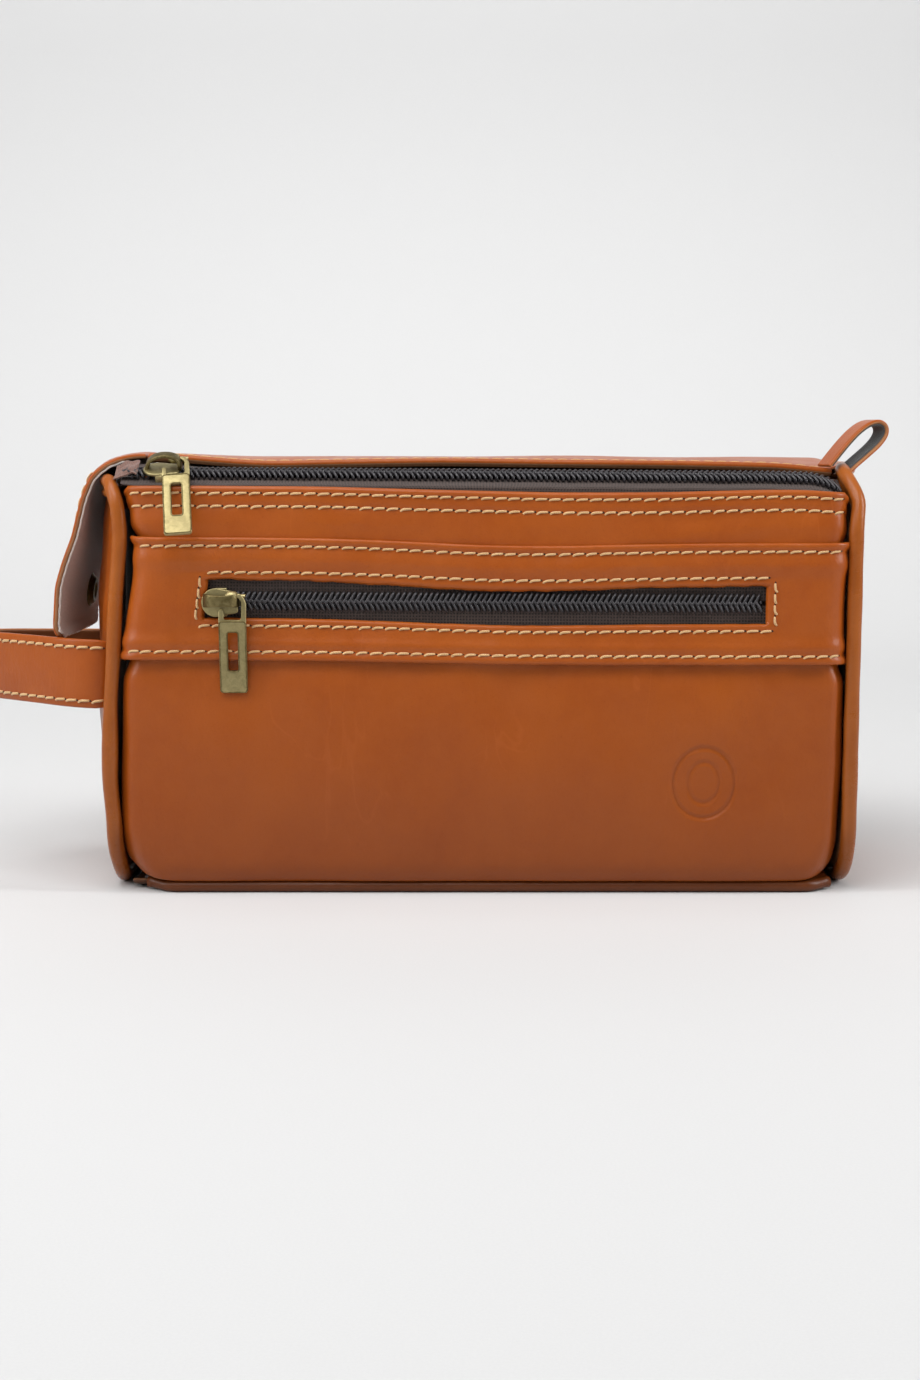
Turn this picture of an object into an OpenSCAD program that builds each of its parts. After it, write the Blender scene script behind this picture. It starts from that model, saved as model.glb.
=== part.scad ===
// Leather shaving kit bag: a soft box with piped ends, a zipped lid with a snap-down end flap,
// a zipped front pocket, a side handle and a small pull loop at the end of the main zip.
// X runs along the bag to the right, Y to the back and Z up. The origin is the centre of the base.

/* [Bag] */
// Width over the end piping
bag_w = 250; // [230:1:270]
// Depth from the front wall to the back wall
bag_d = 108; // [98:1:120]
// Height of the front wall's top edge
front_h = 135; // [128:1:142]
// Height of the top of the lid
lid_h = 143; // [141:0.5:149]
// How far the lower front wall bulges outwards
belly_d = 2; // [0:0.1:3]
// Radius of the end panels' lower corners
low_r = 26; // [20:1:30]
// How far each end panel bulges outwards
crown_d = 7; // [3:0.5:8]

/* [Leather and lining] */
// Thickness of the leather
skin_t = 1.6; // [1.2:0.1:2]
// Thickness of the lining cloth
lining_t = 0.5; // [0.4:0.05:0.7]
// Radius of the leather-wrapped piping
pipe_r = 2.4; // [1.8:0.1:2.5]

/* [Front pocket] */
// Height of the pocket panel's lower edge
pocket_z0 = 77; // [74:1:80]
// Height of the pocket panel's upper edge
pocket_z1 = 118; // [116:1:121]
// Height of the pocket zip's centre line
pocket_zip_z = 97.8; // [96:0.2:99]
// Half the length of the window for the pocket zip
window_half = 93; // [85:1:98]
// Height of the window
window_h = 12.4; // [12:0.1:14]

/* [Zips] */
// Width of one half of a zip's coil
coil_w = 3.1; // [2.8:0.1:3.3]
// Height of the coil above its tape
coil_h = 2.3; // [2:0.1:2.4]
// Slope of the main zip
zip_tilt = 24; // [20:1:28]
// Width of the main zip between the front wall and the lid
zip_band = 18; // [17:0.5:19]
// Distance from the front wall's edge to the middle of the main zip
chain_u = 7.2; // [7:0.1:8]
// Where the main slider stands along the bag when the zip is closed
main_slider_x = -105; // [-106:1:-100]
// Where the pocket slider stands when the pocket is closed
pocket_slider_x = -85.4; // [-86:0.2:-80]

/* [Pullers] */
// Width of a puller
puller_w = 9.1; // [8.4:0.1:9.6]
// Length of a puller's flat plate
plate_l = 24; // [20:0.5:25]
// Thickness of a puller
puller_t = 1.2; // [1:0.1:1.3]

/* [Handle and loops] */
// Width of the side handle's strap
strap_w = 23; // [18:0.5:25]
// How far the side handle stands out from the bag
strap_out = 54; // [50:1:65]
// Length of the end flap
flap_l = 56; // [48:1:56]
// How far the open end flap leans out from upright
flap_lean = 18; // [16:1:24]
// Length of the pull loop
pull_l = 20; // [16:1:24]

/* [Hidden] */

tan = "#a8571f";
dark_tan = "#8a431a";
taupe = "#8d8078";
tape_brown = "#2b211e";
coil_black = "#1c1c1f";
brass = "#8c8150";
board = "#4a4038";
cord_white = "#d8d2c4";

cut = 0.1;                  // extra reach of a cutting solid
gap = 0.3;                  // clearance between parts that move past each other
half_d = bag_d / 2;
pipe_x = bag_w / 2 - pipe_r;                // middle plane of an end's piping
wall_x = pipe_x - pipe_r - 0.6;             // half-length of the front and back walls
pull_in = 12;                               // length over which the walls draw in at the ends
pipe_z = pipe_r + 0.05;                     // the piping just clears the ground
wall_z0 = 2 * pipe_z + 0.7;                 // lower edge of the walls
seam_rise = 5.6;                            // how far the bottom seams climb at the ends
seam_in = 5.2;                              // how far the bottom seams draw in at the ends
seam_y = half_d - pipe_r;                   // bottom seams from the middle of the base
back_r = 12;                                // curve of the back wall into the lid
hinge_y = half_d - back_r;
lower_z1 = pocket_z0 + 7;                   // the walls' edges hidden behind the pocket panel
band_z0 = pocket_z1 - 6;
left_top = front_h + 1.6;                   // top of each end's outline
right_top = front_h + 6;
top_r = 10;                                 // radius of the end panels' upper corners
end_inset = pipe_r + 0.2;                   // from the piping's centre line to the end panel
end_x = pipe_x - 1.4;                       // inner face of an end panel at its edge
lining_x = wall_x - 2;
front_lining_y = half_d - 7.4;
coil_gap = 1;                               // between the two halves of a coil
tape_t = 0.6;
tape_gap = 1.6;
pouch_half = window_half + 7;
pouch_z0 = 16;
pouch_front = half_d - 3.5;
pouch_gap = 2.6;
lid_x0 = -pipe_x - 0.6;
lid_x1 = pipe_x - pipe_r - 0.6;
lid_t = skin_t;

function unit_step(t) = let (c = max(0, min(1, t))) c * c * (3 - 2 * c);
function end_pull(x) = unit_step((abs(x) - wall_x + pull_in) / pull_in);
function belly(x, z) =
    z > pocket_z0 || z < wall_z0 ? 0
    : belly_d * (1 - pow(x / wall_x, 2)) * sin(180 * (z - wall_z0) / (pocket_z0 - wall_z0));
function corner_in(z) =
    let (drop = low_r + 0.05 - z) drop <= 0 ? 0 : low_r - sqrt(low_r * low_r - drop * drop);
function wall_y(x, z) = half_d + belly(x, z) - end_pull(x) * corner_in(z);
function arc(cy, cz, r, a0, a1, n) =
    [for (i = [0:n]) let (a = a0 + (a1 - a0) * i / n) [cy + r * cos(a), cz + r * sin(a)]];
function reversed(list) = [for (i = [len(list) - 1:-1:0]) list[i]];

// Outline of an end of the bag in Y and Z, drawn in by inset from the piping's centre line
function end_outline(top, inset) =
    let (y = half_d - pipe_r, low = low_r - inset, high = top_r - inset)
    concat(
        arc(-y + low_r, pipe_z + low_r, low, 180, 270, 6),
        arc(y - low_r, pipe_z + low_r, low, 270, 360, 6),
        arc(y - top_r, top - top_r, high, 0, 90, 5),
        arc(-y + top_r, top - top_r, high, 90, 180, 5)
    );

// Places along a wall where its shape is set: close together where the ends draw in
wall_xs = let (side = [0, 2, 4, 6, 8, 10, 12, 45, 80])
    concat([for (s = side) s - wall_x], [0], [for (s = reversed(side)) wall_x - s]);
lower_zs = [0, 3, 7, 12, 17, 22, 34, 48, 60, pocket_z0 - wall_z0, lower_z1 - wall_z0];
plain_zs = [0, 4, 9, 15, 22, 60];

// Solid skin over a list of rings, each with the same number of points
module skin(rings, looped = false) {
    n = len(rings);
    m = len(rings[0]);
    sides = [for (i = [0:n - (looped ? 1 : 2)], j = [0:m - 1])
        let (i2 = (i + 1) % n, j2 = (j + 1) % m)
        [i * m + j, i * m + j2, i2 * m + j2, i2 * m + j]];
    caps = looped ? [] : [[for (j = [m - 1:-1:0]) j], [for (j = [0:m - 1]) (n - 1) * m + j]];
    polyhedron(points = [for (r = rings) each r], faces = concat(sides, caps), convexity = 8);
}

// Lower edge of a wall at x, raised where the seam climbs
function lift(x, z) = z + seam_rise * end_pull(x) * max(0, 1 - (z - wall_z0) / low_r);

// Sheet that follows the front wall, from depth t0 to depth t1 behind its face
module front_sheet(zs, t0, t1) {
    skin([for (x = wall_xs) concat(
        [for (z = zs) [x, t0 - wall_y(x, lift(x, z)), lift(x, z)]],
        [for (z = reversed(zs)) [x, t1 - wall_y(x, lift(x, z)), lift(x, z)]]
    )]);
}

// Flat sheet in Y and Z drawn as a polygon and run along X from x0 to x1
module run_x(x0, x1, points) {
    translate([x0, 0, 0]) rotate([90, 0, 90]) linear_extrude(x1 - x0) polygon(points);
}

// Upright panel across the bag that bulges by crown along +X
module end_dome(top, crown) {
    shares = [0.08, 0.3, 0.52, 0.72, 0.88, 1];
    outline = end_outline(top, end_inset);
    mid = (top + pipe_z) / 2;
    rings = [for (face = [1, 0], s = face == 1 ? shares : reversed(shares))
        [for (p = outline)
            [end_x + face * skin_t + crown * (1 - s * s), p[0] * s, mid + (p[1] - mid) * s]]];
    skin(rings);
}

/* Base */

function base_outline(inset) =
    let (x = wall_x - 1 - inset, y = seam_y - pipe_r - 0.3 - inset, r = 24)
    concat(arc(x - r, y - r, r, 0, 90, 6), arc(r - x, y - r, r, 90, 180, 6),
        arc(r - x, r - y, r, 180, 270, 6), arc(x - r, r - y, r, 270, 360, 6));

module base_sheet(z, t, inset) {
    translate([0, 0, z]) linear_extrude(t) polygon(base_outline(inset));
}

module bottom_panel() { color(dark_tan) base_sheet(0, skin_t, 0); }

module bottom_board() { color(board) base_sheet(skin_t + 0.1, 1.5, 3); }

module bottom_lining() { color(taupe) base_sheet(skin_t + 1.8, lining_t, 4); }

/* Walls */

module front_lower_panel() {
    color(tan) front_sheet([for (s = lower_zs) wall_z0 + s], 0, skin_t);
}

module front_pocket_panel() {
    y = -half_d - skin_t - 0.1;
    color(tan) difference() {
        translate([-wall_x, y, pocket_z0]) cube([2 * wall_x, skin_t, pocket_z1 - pocket_z0]);
        translate([-window_half, y - cut, pocket_zip_z - window_h / 2])
            cube([2 * window_half, skin_t + 2 * cut, window_h]);
    }
}

module front_top_band() {
    color(tan) run_x(-wall_x, wall_x,
        [[-half_d, band_z0], [skin_t - half_d, band_z0], [skin_t - half_d, front_h],
            [-half_d, front_h]]);
}

module back_panel() {
    arc_z = lid_h - back_r;
    zs = concat([for (s = plain_zs) wall_z0 + s], [arc_z - 8]);
    color(tan) skin([for (x = wall_xs)
        let (
            face = concat([for (z = zs) [wall_y(x, lift(x, z)) - belly(x, lift(x, z)), lift(x, z)]],
                arc(hinge_y, arc_z, back_r, 0, 87, 6)),
            inner = concat([for (z = zs) [wall_y(x, lift(x, z)) - belly(x, lift(x, z)) - skin_t,
                lift(x, z)]], arc(hinge_y, arc_z, back_r - skin_t, 0, 87, 6))
        )
        concat([for (p = reversed(face)) [x, p[0], p[1]]], [for (p = inner) [x, p[0], p[1]]])]);
}

module stud_hole() {
    translate([end_x - 5, 0, snap_z]) rotate([0, 90, 0]) cylinder(r = 1.8, h = 30, $fn = 32);
}

module left_end_panel() {
    color(tan) mirror([1, 0, 0]) difference() {
        end_dome(left_top, crown_d);
        stud_hole();
    }
}

module right_end_panel() { color(tan) end_dome(right_top, crown_d - 2); }

/* Piping: a cord in a leather cover that is open along its seam */

cover_wall = 1.1;
function cover_section() =
    concat(arc(0, 0, pipe_r, -140, 140, 9), arc(0, 0, pipe_r - cover_wall, 140, -140, 6));
function cord_section() = [for (p = arc(0, 0, pipe_r - cover_wall - 0.1, 0, 315, 7)) p];

// Ring of a section around an end's outline: a section's first axis points out of the outline
module end_ring(section, top) {
    y = half_d - pipe_r;
    corners = [[-y + low_r, pipe_z + low_r, low_r, 180, 6], [y - low_r, pipe_z + low_r, low_r, 270, 6],
        [y - top_r, top - top_r, top_r, 0, 5], [-y + top_r, top - top_r, top_r, 90, 5]];
    skin([for (c = corners, i = [0:c[4]]) let (a = c[3] + 90 * i / c[4])
        [for (p = section) [pipe_x + p[1], c[0] + (c[2] + p[0]) * cos(a),
            c[1] + (c[2] + p[0]) * sin(a)]]], looped = true);
}

module left_piping_cover() { color(tan) mirror([1, 0, 0]) end_ring(cover_section(), left_top); }

module left_piping_cord() { color(cord_white) mirror([1, 0, 0]) end_ring(cord_section(), left_top); }

module right_piping_cover() { color(tan) end_ring(cover_section(), right_top); }

module right_piping_cord() { color(cord_white) end_ring(cord_section(), right_top); }

// Length of a section along the front bottom seam, which climbs and draws in at both ends
module bottom_run(section) {
    skin([for (x = wall_xs) let (s = end_pull(x))
        [for (p = section) let (out = (p[0] + p[1]) * sqrt(0.5), up = (p[1] - p[0]) * sqrt(0.5))
            [x, -(seam_y - seam_in * s + out), pipe_z + seam_rise * s + up]]]);
}

module front_bottom_piping_cover() { color(tan) bottom_run(cover_section()); }

module front_bottom_piping_cord() { color(cord_white) bottom_run(cord_section()); }

module back_bottom_piping_cover() { color(tan) mirror([0, 1, 0]) bottom_run(cover_section()); }

module back_bottom_piping_cord() { color(cord_white) mirror([0, 1, 0]) bottom_run(cord_section()); }

/* Lining */

// The cloth starts above the round of the lower corners
lining_z0 = low_r + 3;
lining_z1 = front_h - 5;

module front_lining() {
    color(taupe) run_x(-lining_x, lining_x, [[-front_lining_y, lining_z0],
        [lining_t - front_lining_y, lining_z0], [lining_t - front_lining_y, lining_z1],
        [-front_lining_y, lining_z1]]);
    color(taupe) run_x(-lining_x + pull_in, lining_x - pull_in, [[-front_lining_y, 6],
        [lining_t - front_lining_y, 6], [lining_t - front_lining_y, lining_z0],
        [-front_lining_y, lining_z0]]);
}

module back_lining() {
    y = half_d - skin_t - 0.6;
    color(taupe) run_x(-lining_x, lining_x, [[y - lining_t, lining_z0], [y, lining_z0],
        [y, lining_z1 - 2], [y - lining_t, lining_z1 - 2]]);
    color(taupe) run_x(-lining_x + pull_in, lining_x - pull_in, [[y - lining_t, 6], [y, 6],
        [y, lining_z0], [y - lining_t, lining_z0]]);
}

module end_lining() {
    y0 = 0.2 - front_lining_y + lining_t;
    y1 = half_d - skin_t - 1.4;
    low = low_r - 6;
    run_x(lining_x + 0.2, lining_x + 0.2 + lining_t, concat(
        arc(y0 + low, 6 + low, low, 180, 270, 6), arc(y1 - low, 6 + low, low, 270, 360, 6),
        [[y1, lining_z1 - 2], [y0, lining_z1 - 2]]));
}

module left_end_lining() { color(taupe) mirror([1, 0, 0]) end_lining(); }

module right_end_lining() { color(taupe) end_lining(); }

module pocket_pouch() {
    y0 = -pouch_front;
    y1 = y0 + lining_t;
    y2 = y1 + pouch_gap;
    y3 = y2 + lining_t;
    color(taupe) {
        run_x(-pouch_half, pouch_half, [[y0, pouch_z0], [y3, pouch_z0], [y3, band_z0], [y2, band_z0],
            [y2, pouch_z0 + lining_t], [y1, pouch_z0 + lining_t], [y1, lower_z1], [y0, lower_z1]]);
        for (side = [-1, 1])
            translate([side * pouch_half - (side < 0 ? lining_t : 0), y0, pouch_z0])
                cube([lining_t, y3 - y0, lower_z1 - pouch_z0]);
    }
}

/* Zips. A zip is drawn along X with its tapes in the XY plane and its coils above them. */

module half_coil(x0, x1, side) {
    translate([x0, side > 0 ? coil_gap / 2 : -coil_gap / 2 - coil_w, tape_t / 2])
        cube([x1 - x0, coil_w, coil_h]);
}

module at_pocket_zip() {
    translate([0, skin_t / 2 - half_d, pocket_zip_z]) rotate([90, 0, 0]) children();
}

module at_main_zip() {
    translate([0, skin_t - half_d, front_h]) rotate([zip_tilt, 0, 0]) translate([0, chain_u, 0])
        children();
}

pocket_zip_half = window_half + 5;
pocket_tape_reach = band_z0 - 0.3 - pocket_zip_z;

module pocket_tape(side) {
    w = side > 0 ? pocket_tape_reach : pocket_zip_z - lower_z1 - 0.3;
    at_pocket_zip()
        translate([-pocket_zip_half, side > 0 ? tape_gap / 2 : -w, -tape_t / 2])
            cube([2 * pocket_zip_half, w - tape_gap / 2, tape_t]);
}

module pocket_zip_upper_tape() { color(tape_brown) pocket_tape(1); }

module pocket_zip_lower_tape() { color(tape_brown) pocket_tape(-1); }

module pocket_zip_upper_coil() {
    color(coil_black) at_pocket_zip() half_coil(-window_half + 0.5, window_half - 0.5, 1);
}

module pocket_zip_lower_coil() {
    color(coil_black) at_pocket_zip() half_coil(-window_half + 0.5, window_half - 0.5, -1);
}

// Point of the main zip's slope at distance u from the front wall's edge and w above the tape
function slope(u, w) = [
    skin_t - half_d + u * cos(zip_tilt) - w * sin(zip_tilt),
    front_h + u * sin(zip_tilt) + w * cos(zip_tilt)
];

module main_zip_front_tape() {
    h = tape_t / 2;
    y = skin_t + 0.3 - half_d;
    color(tape_brown) run_x(-wall_x, wall_x, [[y, front_h - 12], [y + tape_t, front_h - 12],
        slope(1.2, -h), slope(chain_u - tape_gap / 2, -h), slope(chain_u - tape_gap / 2, h),
        slope(0.6, h)]);
}

module main_zip_rear_tape() {
    h = tape_t / 2;
    y = slope(zip_band, 0)[0];
    z = lid_h - lid_t - 0.3;
    flat_u = chain_u + slider_half + 0.8;
    color(tape_brown) run_x(-wall_x, wall_x, [slope(chain_u + tape_gap / 2, h),
        slope(chain_u + tape_gap / 2, -h), slope(flat_u, -h), [y + 0.2, z - tape_t],
        [y + 10, z - tape_t], [y + 10, z], [y, z], slope(flat_u, h)]);
}

module main_zip_front_coil() {
    color(coil_black) at_main_zip() half_coil(-wall_x + 0.5, wall_x - 0.5, -1);
}

module main_zip_rear_coil() {
    color(coil_black) at_main_zip() half_coil(-wall_x + 0.5, wall_x - 0.5, 1);
}

/* Sliders and pullers, drawn round the middle of a zip */

slider_half = 4.75;
nose_x = -2.1;
tail_x = 5.2;
plate_z0 = tape_t / 2 + coil_h + gap;
plate_t = 1;
lip_t = slider_half - coil_gap / 2 - coil_w - gap;
lip_z = tape_t / 2 + gap;
pivot_y = 2.4;
pivot_z = plate_z0 + plate_t + 2.3;
pin_r = 0.6;
lug_r = 1.5;
lug_x0 = 2.1;
lug_x1 = 4.9;
puller_x0 = -0.9;
leg_w = 1.7;
leg_start = 4.7;
ring_l = 8.4;
bridge_half = 1.6;
puller_bend = 11;           // the plate leans in from the ring
main_slope = 11;            // how far the pullers' rings lean in from the zips at rest
pocket_slope = -1;

function slider_outline() = concat(
    arc(nose_x, 0, slider_half, 90, 270, 12),
    [[tail_x, -slider_half * 0.76], [tail_x, slider_half * 0.76]]
);

module slider() {
    translate([0, 0, plate_z0]) linear_extrude(plate_t) polygon(slider_outline());
    translate([0, 0, -lip_z - plate_t]) linear_extrude(plate_t) polygon(slider_outline());
    // Lips that guide the coil's outer edges
    for (side = [-1, 1])
        translate([nose_x, side > 0 ? slider_half - lip_t : -slider_half, lip_z])
            cube([3, lip_t, plate_z0 - lip_z + cut]);
    // Post between the two halves of the coil
    translate([nose_x - 1.5, gap - coil_gap / 2, -lip_z - cut])
        cube([3, coil_gap - 2 * gap, plate_z0 + lip_z + 2 * cut]);
    // Bridge from the nose to the lug that holds the puller's pin
    difference() {
        union() {
            translate([0, bridge_half, 0]) rotate([90, 0, 0]) linear_extrude(2 * bridge_half)
                polygon([[-5.4, plate_z0 + plate_t - cut], [-4, plate_z0 + plate_t - cut],
                    [-3.4, pivot_z - 0.2], [-1.5, pivot_z + 0.5], [lug_x0, pivot_z + 0.5],
                    [lug_x0, plate_z0 + plate_t - cut], [lug_x1, plate_z0 + plate_t - cut],
                    [lug_x1, pivot_z + 0.6], [lug_x0, pivot_z + 1.4], [-1.6, pivot_z + 1.4],
                    [-4.4, pivot_z + 0.4]]);
            translate([lug_x0, pivot_y, pivot_z]) rotate([0, 90, 0])
                cylinder(r = lug_r, h = lug_x1 - lug_x0, $fn = 32);
        }
        translate([lug_x0 - 1, pivot_y, pivot_z]) rotate([0, 90, 0])
            cylinder(r = pin_r + 0.1, h = lug_x1 - lug_x0 + 2, $fn = 32);
    }
}

// Flat puller: a ring whose top bar turns in the slider's lug, and a plate with a slot
module puller(slope) {
    slot_w = 3.3;
    slot_l = 12.9;
    translate([0, pivot_y, pivot_z]) rotate([slope, 0, 0]) {
        translate([lug_x0 - 0.8, 0, 0]) rotate([0, 90, 0])
            cylinder(r = pin_r, h = puller_x0 + puller_w - lug_x0 + 0.8, $fn = 32);
        translate([puller_x0 + puller_w - leg_w, -ring_l, -puller_t / 2])
            cube([leg_w, ring_l, puller_t]);
        translate([puller_x0, -ring_l, -puller_t / 2])
            cube([leg_w, ring_l - leg_start, puller_t]);
        translate([puller_x0, -ring_l, 0]) rotate([puller_bend, 0, 0]) difference() {
            translate([0, -plate_l, -puller_t / 2]) cube([puller_w, plate_l + 0.3, puller_t]);
            translate([(puller_w - slot_w) / 2, -slot_l - 3.6, -puller_t])
                cube([slot_w, slot_l, 2 * puller_t]);
        }
    }
}

module main_slider() { color(brass) at_main_zip() translate([main_slider_x, 0, 0]) slider(); }

module main_puller() {
    color(brass) at_main_zip() translate([main_slider_x, 0, 0]) puller(main_slope);
}

module pocket_slider() { color(brass) at_pocket_zip() translate([pocket_slider_x, 0, 0]) slider(); }

module pocket_puller() {
    color(brass) at_pocket_zip() translate([pocket_slider_x, 0, 0]) puller(pocket_slope);
}

/* Lid and end flap */

lid_y0 = slope(zip_band, 0)[0];
lid_y1 = hinge_y - 0.2;

module lid_panel() {
    color(tan) translate([lid_x0, lid_y0, lid_h - lid_t]) cube([lid_x1 - lid_x0, lid_y1 - lid_y0, lid_t]);
}

module lid_lining() {
    z = lid_h - lid_t - 1.2 - lining_t;
    color(taupe) translate([lid_x0 + 4, lid_y0 + 2, z])
        cube([lid_x1 - lid_x0 - 8, lid_y1 - lid_y0 - 6, lining_t]);
}

fold_x = lid_x0 - 1.5;
fold_z = lid_h - 1;
snap_z = 96;                // height of the stud on the end panel
snap_turn = 6;              // how far the flap swings in from rest to snap shut
snap_along = (fold_z - snap_z - 0.5) / cos(flap_lean - snap_turn);
flap_half = half_d - 9;
flap_r = 20;

// Draws in the flap's own plane: Y across the bag and X down the flap from its fold
module on_flap() {
    translate([fold_x, 0, fold_z]) rotate([0, 90 + flap_lean, 0]) children();
}

function flap_outline(inset) =
    let (l = flap_l - inset, w = flap_half - inset, r = flap_r - inset) concat(
        [[inset, -w]], arc(l - r, -w + r, r, 270, 360, 6), arc(l - r, w - r, r, 0, 90, 6), [[inset, w]]);

module end_flap() {
    color(tan) on_flap() translate([0, 0, -skin_t]) difference() {
        linear_extrude(skin_t) polygon(flap_outline(0));
        translate([snap_along, 0, -cut]) cylinder(r = 1.8, h = skin_t + 2 * cut, $fn = 32);
    }
}

module end_flap_lining() {
    color(taupe) on_flap() translate([0, 0, 0.1]) difference() {
        linear_extrude(lining_t) polygon(flap_outline(1));
        translate([snap_along, 0, -cut]) cylinder(r = 1.8, h = lining_t + 2 * cut, $fn = 32);
    }
}

module snap_cap() {
    color(brass) on_flap() translate([snap_along, 0, 0]) {
        translate([0, 0, -skin_t - 1.3]) cylinder(r = 6, h = 1.2, $fn = 48);
        translate([0, 0, -skin_t - 0.2]) cylinder(r = 1.6, h = skin_t + lining_t + 0.4, $fn = 32);
    }
}

module snap_socket() {
    z0 = lining_t + 0.3;
    color(brass) on_flap() translate([snap_along, 0, z0]) difference() {
        cylinder(r = 6, h = 2.6, $fn = 48);
        translate([0, 0, 0.6]) cylinder(r = 3.2, h = 3, $fn = 32);
    }
}

// Outer face of the left end panel at height z, halfway between front and back
function left_face(z) =
    let (mid = (left_top + pipe_z) / 2, s = (z - mid) / ((left_top - pipe_z) / 2 - end_inset))
    -end_x - skin_t - crown_d * (1 - s * s);

stud_x = left_face(snap_z);

module snap_stud() {
    color(brass) translate([stud_x - 0.5, 0, snap_z]) rotate([0, -90, 0]) {
        cylinder(r = 5, h = 0.6, $fn = 48);
        cylinder(r = 2, h = 3, $fn = 32);
    }
}

module snap_rivet() {
    color(brass) translate([stud_x + skin_t + 1.2, 0, snap_z]) rotate([0, -90, 0]) {
        cylinder(r = 5, h = 0.6, $fn = 48);
        cylinder(r = 1.4, h = skin_t + 1.6, $fn = 32);
    }
}

/* Handle at the left end: two straight legs and a round end, seen from above */

strap_z = 60;
strap_x = -bag_w / 2 - 1.6;
strap_y = half_d - 2;
strap_r = 20;
strap_outer_t = 1.7;
strap_inner_t = 1.2;
strap_reach = strap_out - strap_r;
// Direction square to a leg, away from the bag, so that the leg meets the round end smoothly
strap_a = atan2(strap_y, -strap_reach)
    - acos(strap_r / sqrt(strap_reach * strap_reach + strap_y * strap_y));

// Line of the strap from above, at distance out from its middle line
function strap_line(out) =
    let (x = strap_x - out * cos(strap_a), y = strap_y + out * sin(strap_a))
    concat([[x, y]], arc(strap_x - strap_reach, 0, strap_r + out, 180 - strap_a, 180 + strap_a, 12),
        [[x, -y]]);

module strap(t0, t1, inset) {
    translate([0, 0, strap_z + inset]) linear_extrude(strap_w - 2 * inset)
        polygon(concat(strap_line(t0), reversed(strap_line(t1))));
}

module handle_strap() { color(tan) strap(0, strap_outer_t, 0); }

module handle_lining() { color(dark_tan) strap(-0.1 - strap_inner_t, -0.1, 0.6); }

/* Pull loop at the right end of the main zip */

pull_w = 9;
pull_r = 4.6;
pull_lean = 47;
pull_turn = 35;
pull_pos = [pipe_x - 0.6, -half_d + 20, right_top + pipe_r + 1.7];

module on_pull_loop() {
    translate(pull_pos) rotate([0, 0, pull_turn]) rotate([0, pull_lean, 0])
        translate([0, pull_w / 2, 0]) rotate([90, 0, 0]) children();
}

// Line of the loop: two legs that start at distance s from its root and meet in a round end
function pull_line(out, s) =
    let (
        c = pull_l - pull_r,
        a = asin(pull_r / c),
        x = s * sin(a) + out * cos(a),
        y = s * cos(a) - out * sin(a)
    )
    concat([[x, y]], arc(0, c, pull_r + out, -a, 180 + a, 12), [[-x, y]]);

module pull_band(t0, t1, w, s) {
    translate([0, 0, (pull_w - w) / 2]) linear_extrude(w)
        polygon(concat(pull_line(t1, s), reversed(pull_line(t0, s))));
}

module pull_loop_leather() {
    color(tan) on_pull_loop() {
        pull_band(0, 1.3, pull_w, 1);
        cylinder(r = 1.5, h = pull_w, $fn = 32);
    }
}

module pull_loop_lining() { color(coil_black) on_pull_loop() pull_band(-0.8, -0.05, pull_w - 1, 3.6); }

bottom_panel();
bottom_board();
bottom_lining();
front_lower_panel();
front_pocket_panel();
front_top_band();
back_panel();
left_end_panel();
right_end_panel();
left_piping_cover();
left_piping_cord();
right_piping_cover();
right_piping_cord();
front_bottom_piping_cover();
front_bottom_piping_cord();
back_bottom_piping_cover();
back_bottom_piping_cord();
front_lining();
back_lining();
left_end_lining();
right_end_lining();
pocket_pouch();
pocket_zip_upper_tape();
pocket_zip_lower_tape();
pocket_zip_upper_coil();
pocket_zip_lower_coil();
main_zip_front_tape();
main_zip_front_coil();
snap_stud();
snap_rivet();
lid_panel();
lid_lining();
main_zip_rear_tape();
main_zip_rear_coil();
end_flap();
end_flap_lining();
snap_cap();
snap_socket();
main_slider();
main_puller();
pocket_slider();
pocket_puller();
handle_strap();
handle_lining();
pull_loop_leather();
pull_loop_lining();
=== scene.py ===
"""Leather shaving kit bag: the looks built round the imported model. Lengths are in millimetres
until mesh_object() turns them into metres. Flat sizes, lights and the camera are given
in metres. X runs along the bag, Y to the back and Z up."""
import math

import bmesh
import bpy
import numpy as np
from mathutils import Matrix, Vector


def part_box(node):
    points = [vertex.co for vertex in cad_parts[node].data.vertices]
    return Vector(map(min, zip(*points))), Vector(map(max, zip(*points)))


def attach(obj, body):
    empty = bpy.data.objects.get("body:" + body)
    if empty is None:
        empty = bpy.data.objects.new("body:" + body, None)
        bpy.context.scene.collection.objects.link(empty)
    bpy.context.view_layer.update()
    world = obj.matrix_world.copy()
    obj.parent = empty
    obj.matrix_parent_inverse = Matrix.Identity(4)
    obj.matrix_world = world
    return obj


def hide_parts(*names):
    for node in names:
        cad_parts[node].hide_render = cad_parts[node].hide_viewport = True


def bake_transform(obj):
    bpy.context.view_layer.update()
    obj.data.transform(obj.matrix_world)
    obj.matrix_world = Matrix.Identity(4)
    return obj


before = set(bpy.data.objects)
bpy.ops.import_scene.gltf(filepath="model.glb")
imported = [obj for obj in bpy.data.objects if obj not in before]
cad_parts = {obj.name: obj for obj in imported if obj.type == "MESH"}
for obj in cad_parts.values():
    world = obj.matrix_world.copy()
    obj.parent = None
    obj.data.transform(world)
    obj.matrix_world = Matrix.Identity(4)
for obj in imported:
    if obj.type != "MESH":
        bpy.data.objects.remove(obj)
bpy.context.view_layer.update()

MM = 0.001


def box_mm(node):
    """Lowest and highest corner of a CAD node in millimetres."""
    low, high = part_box(node)
    return np.array(low) / MM, np.array(high) / MM


# ---- places from the frame

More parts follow.
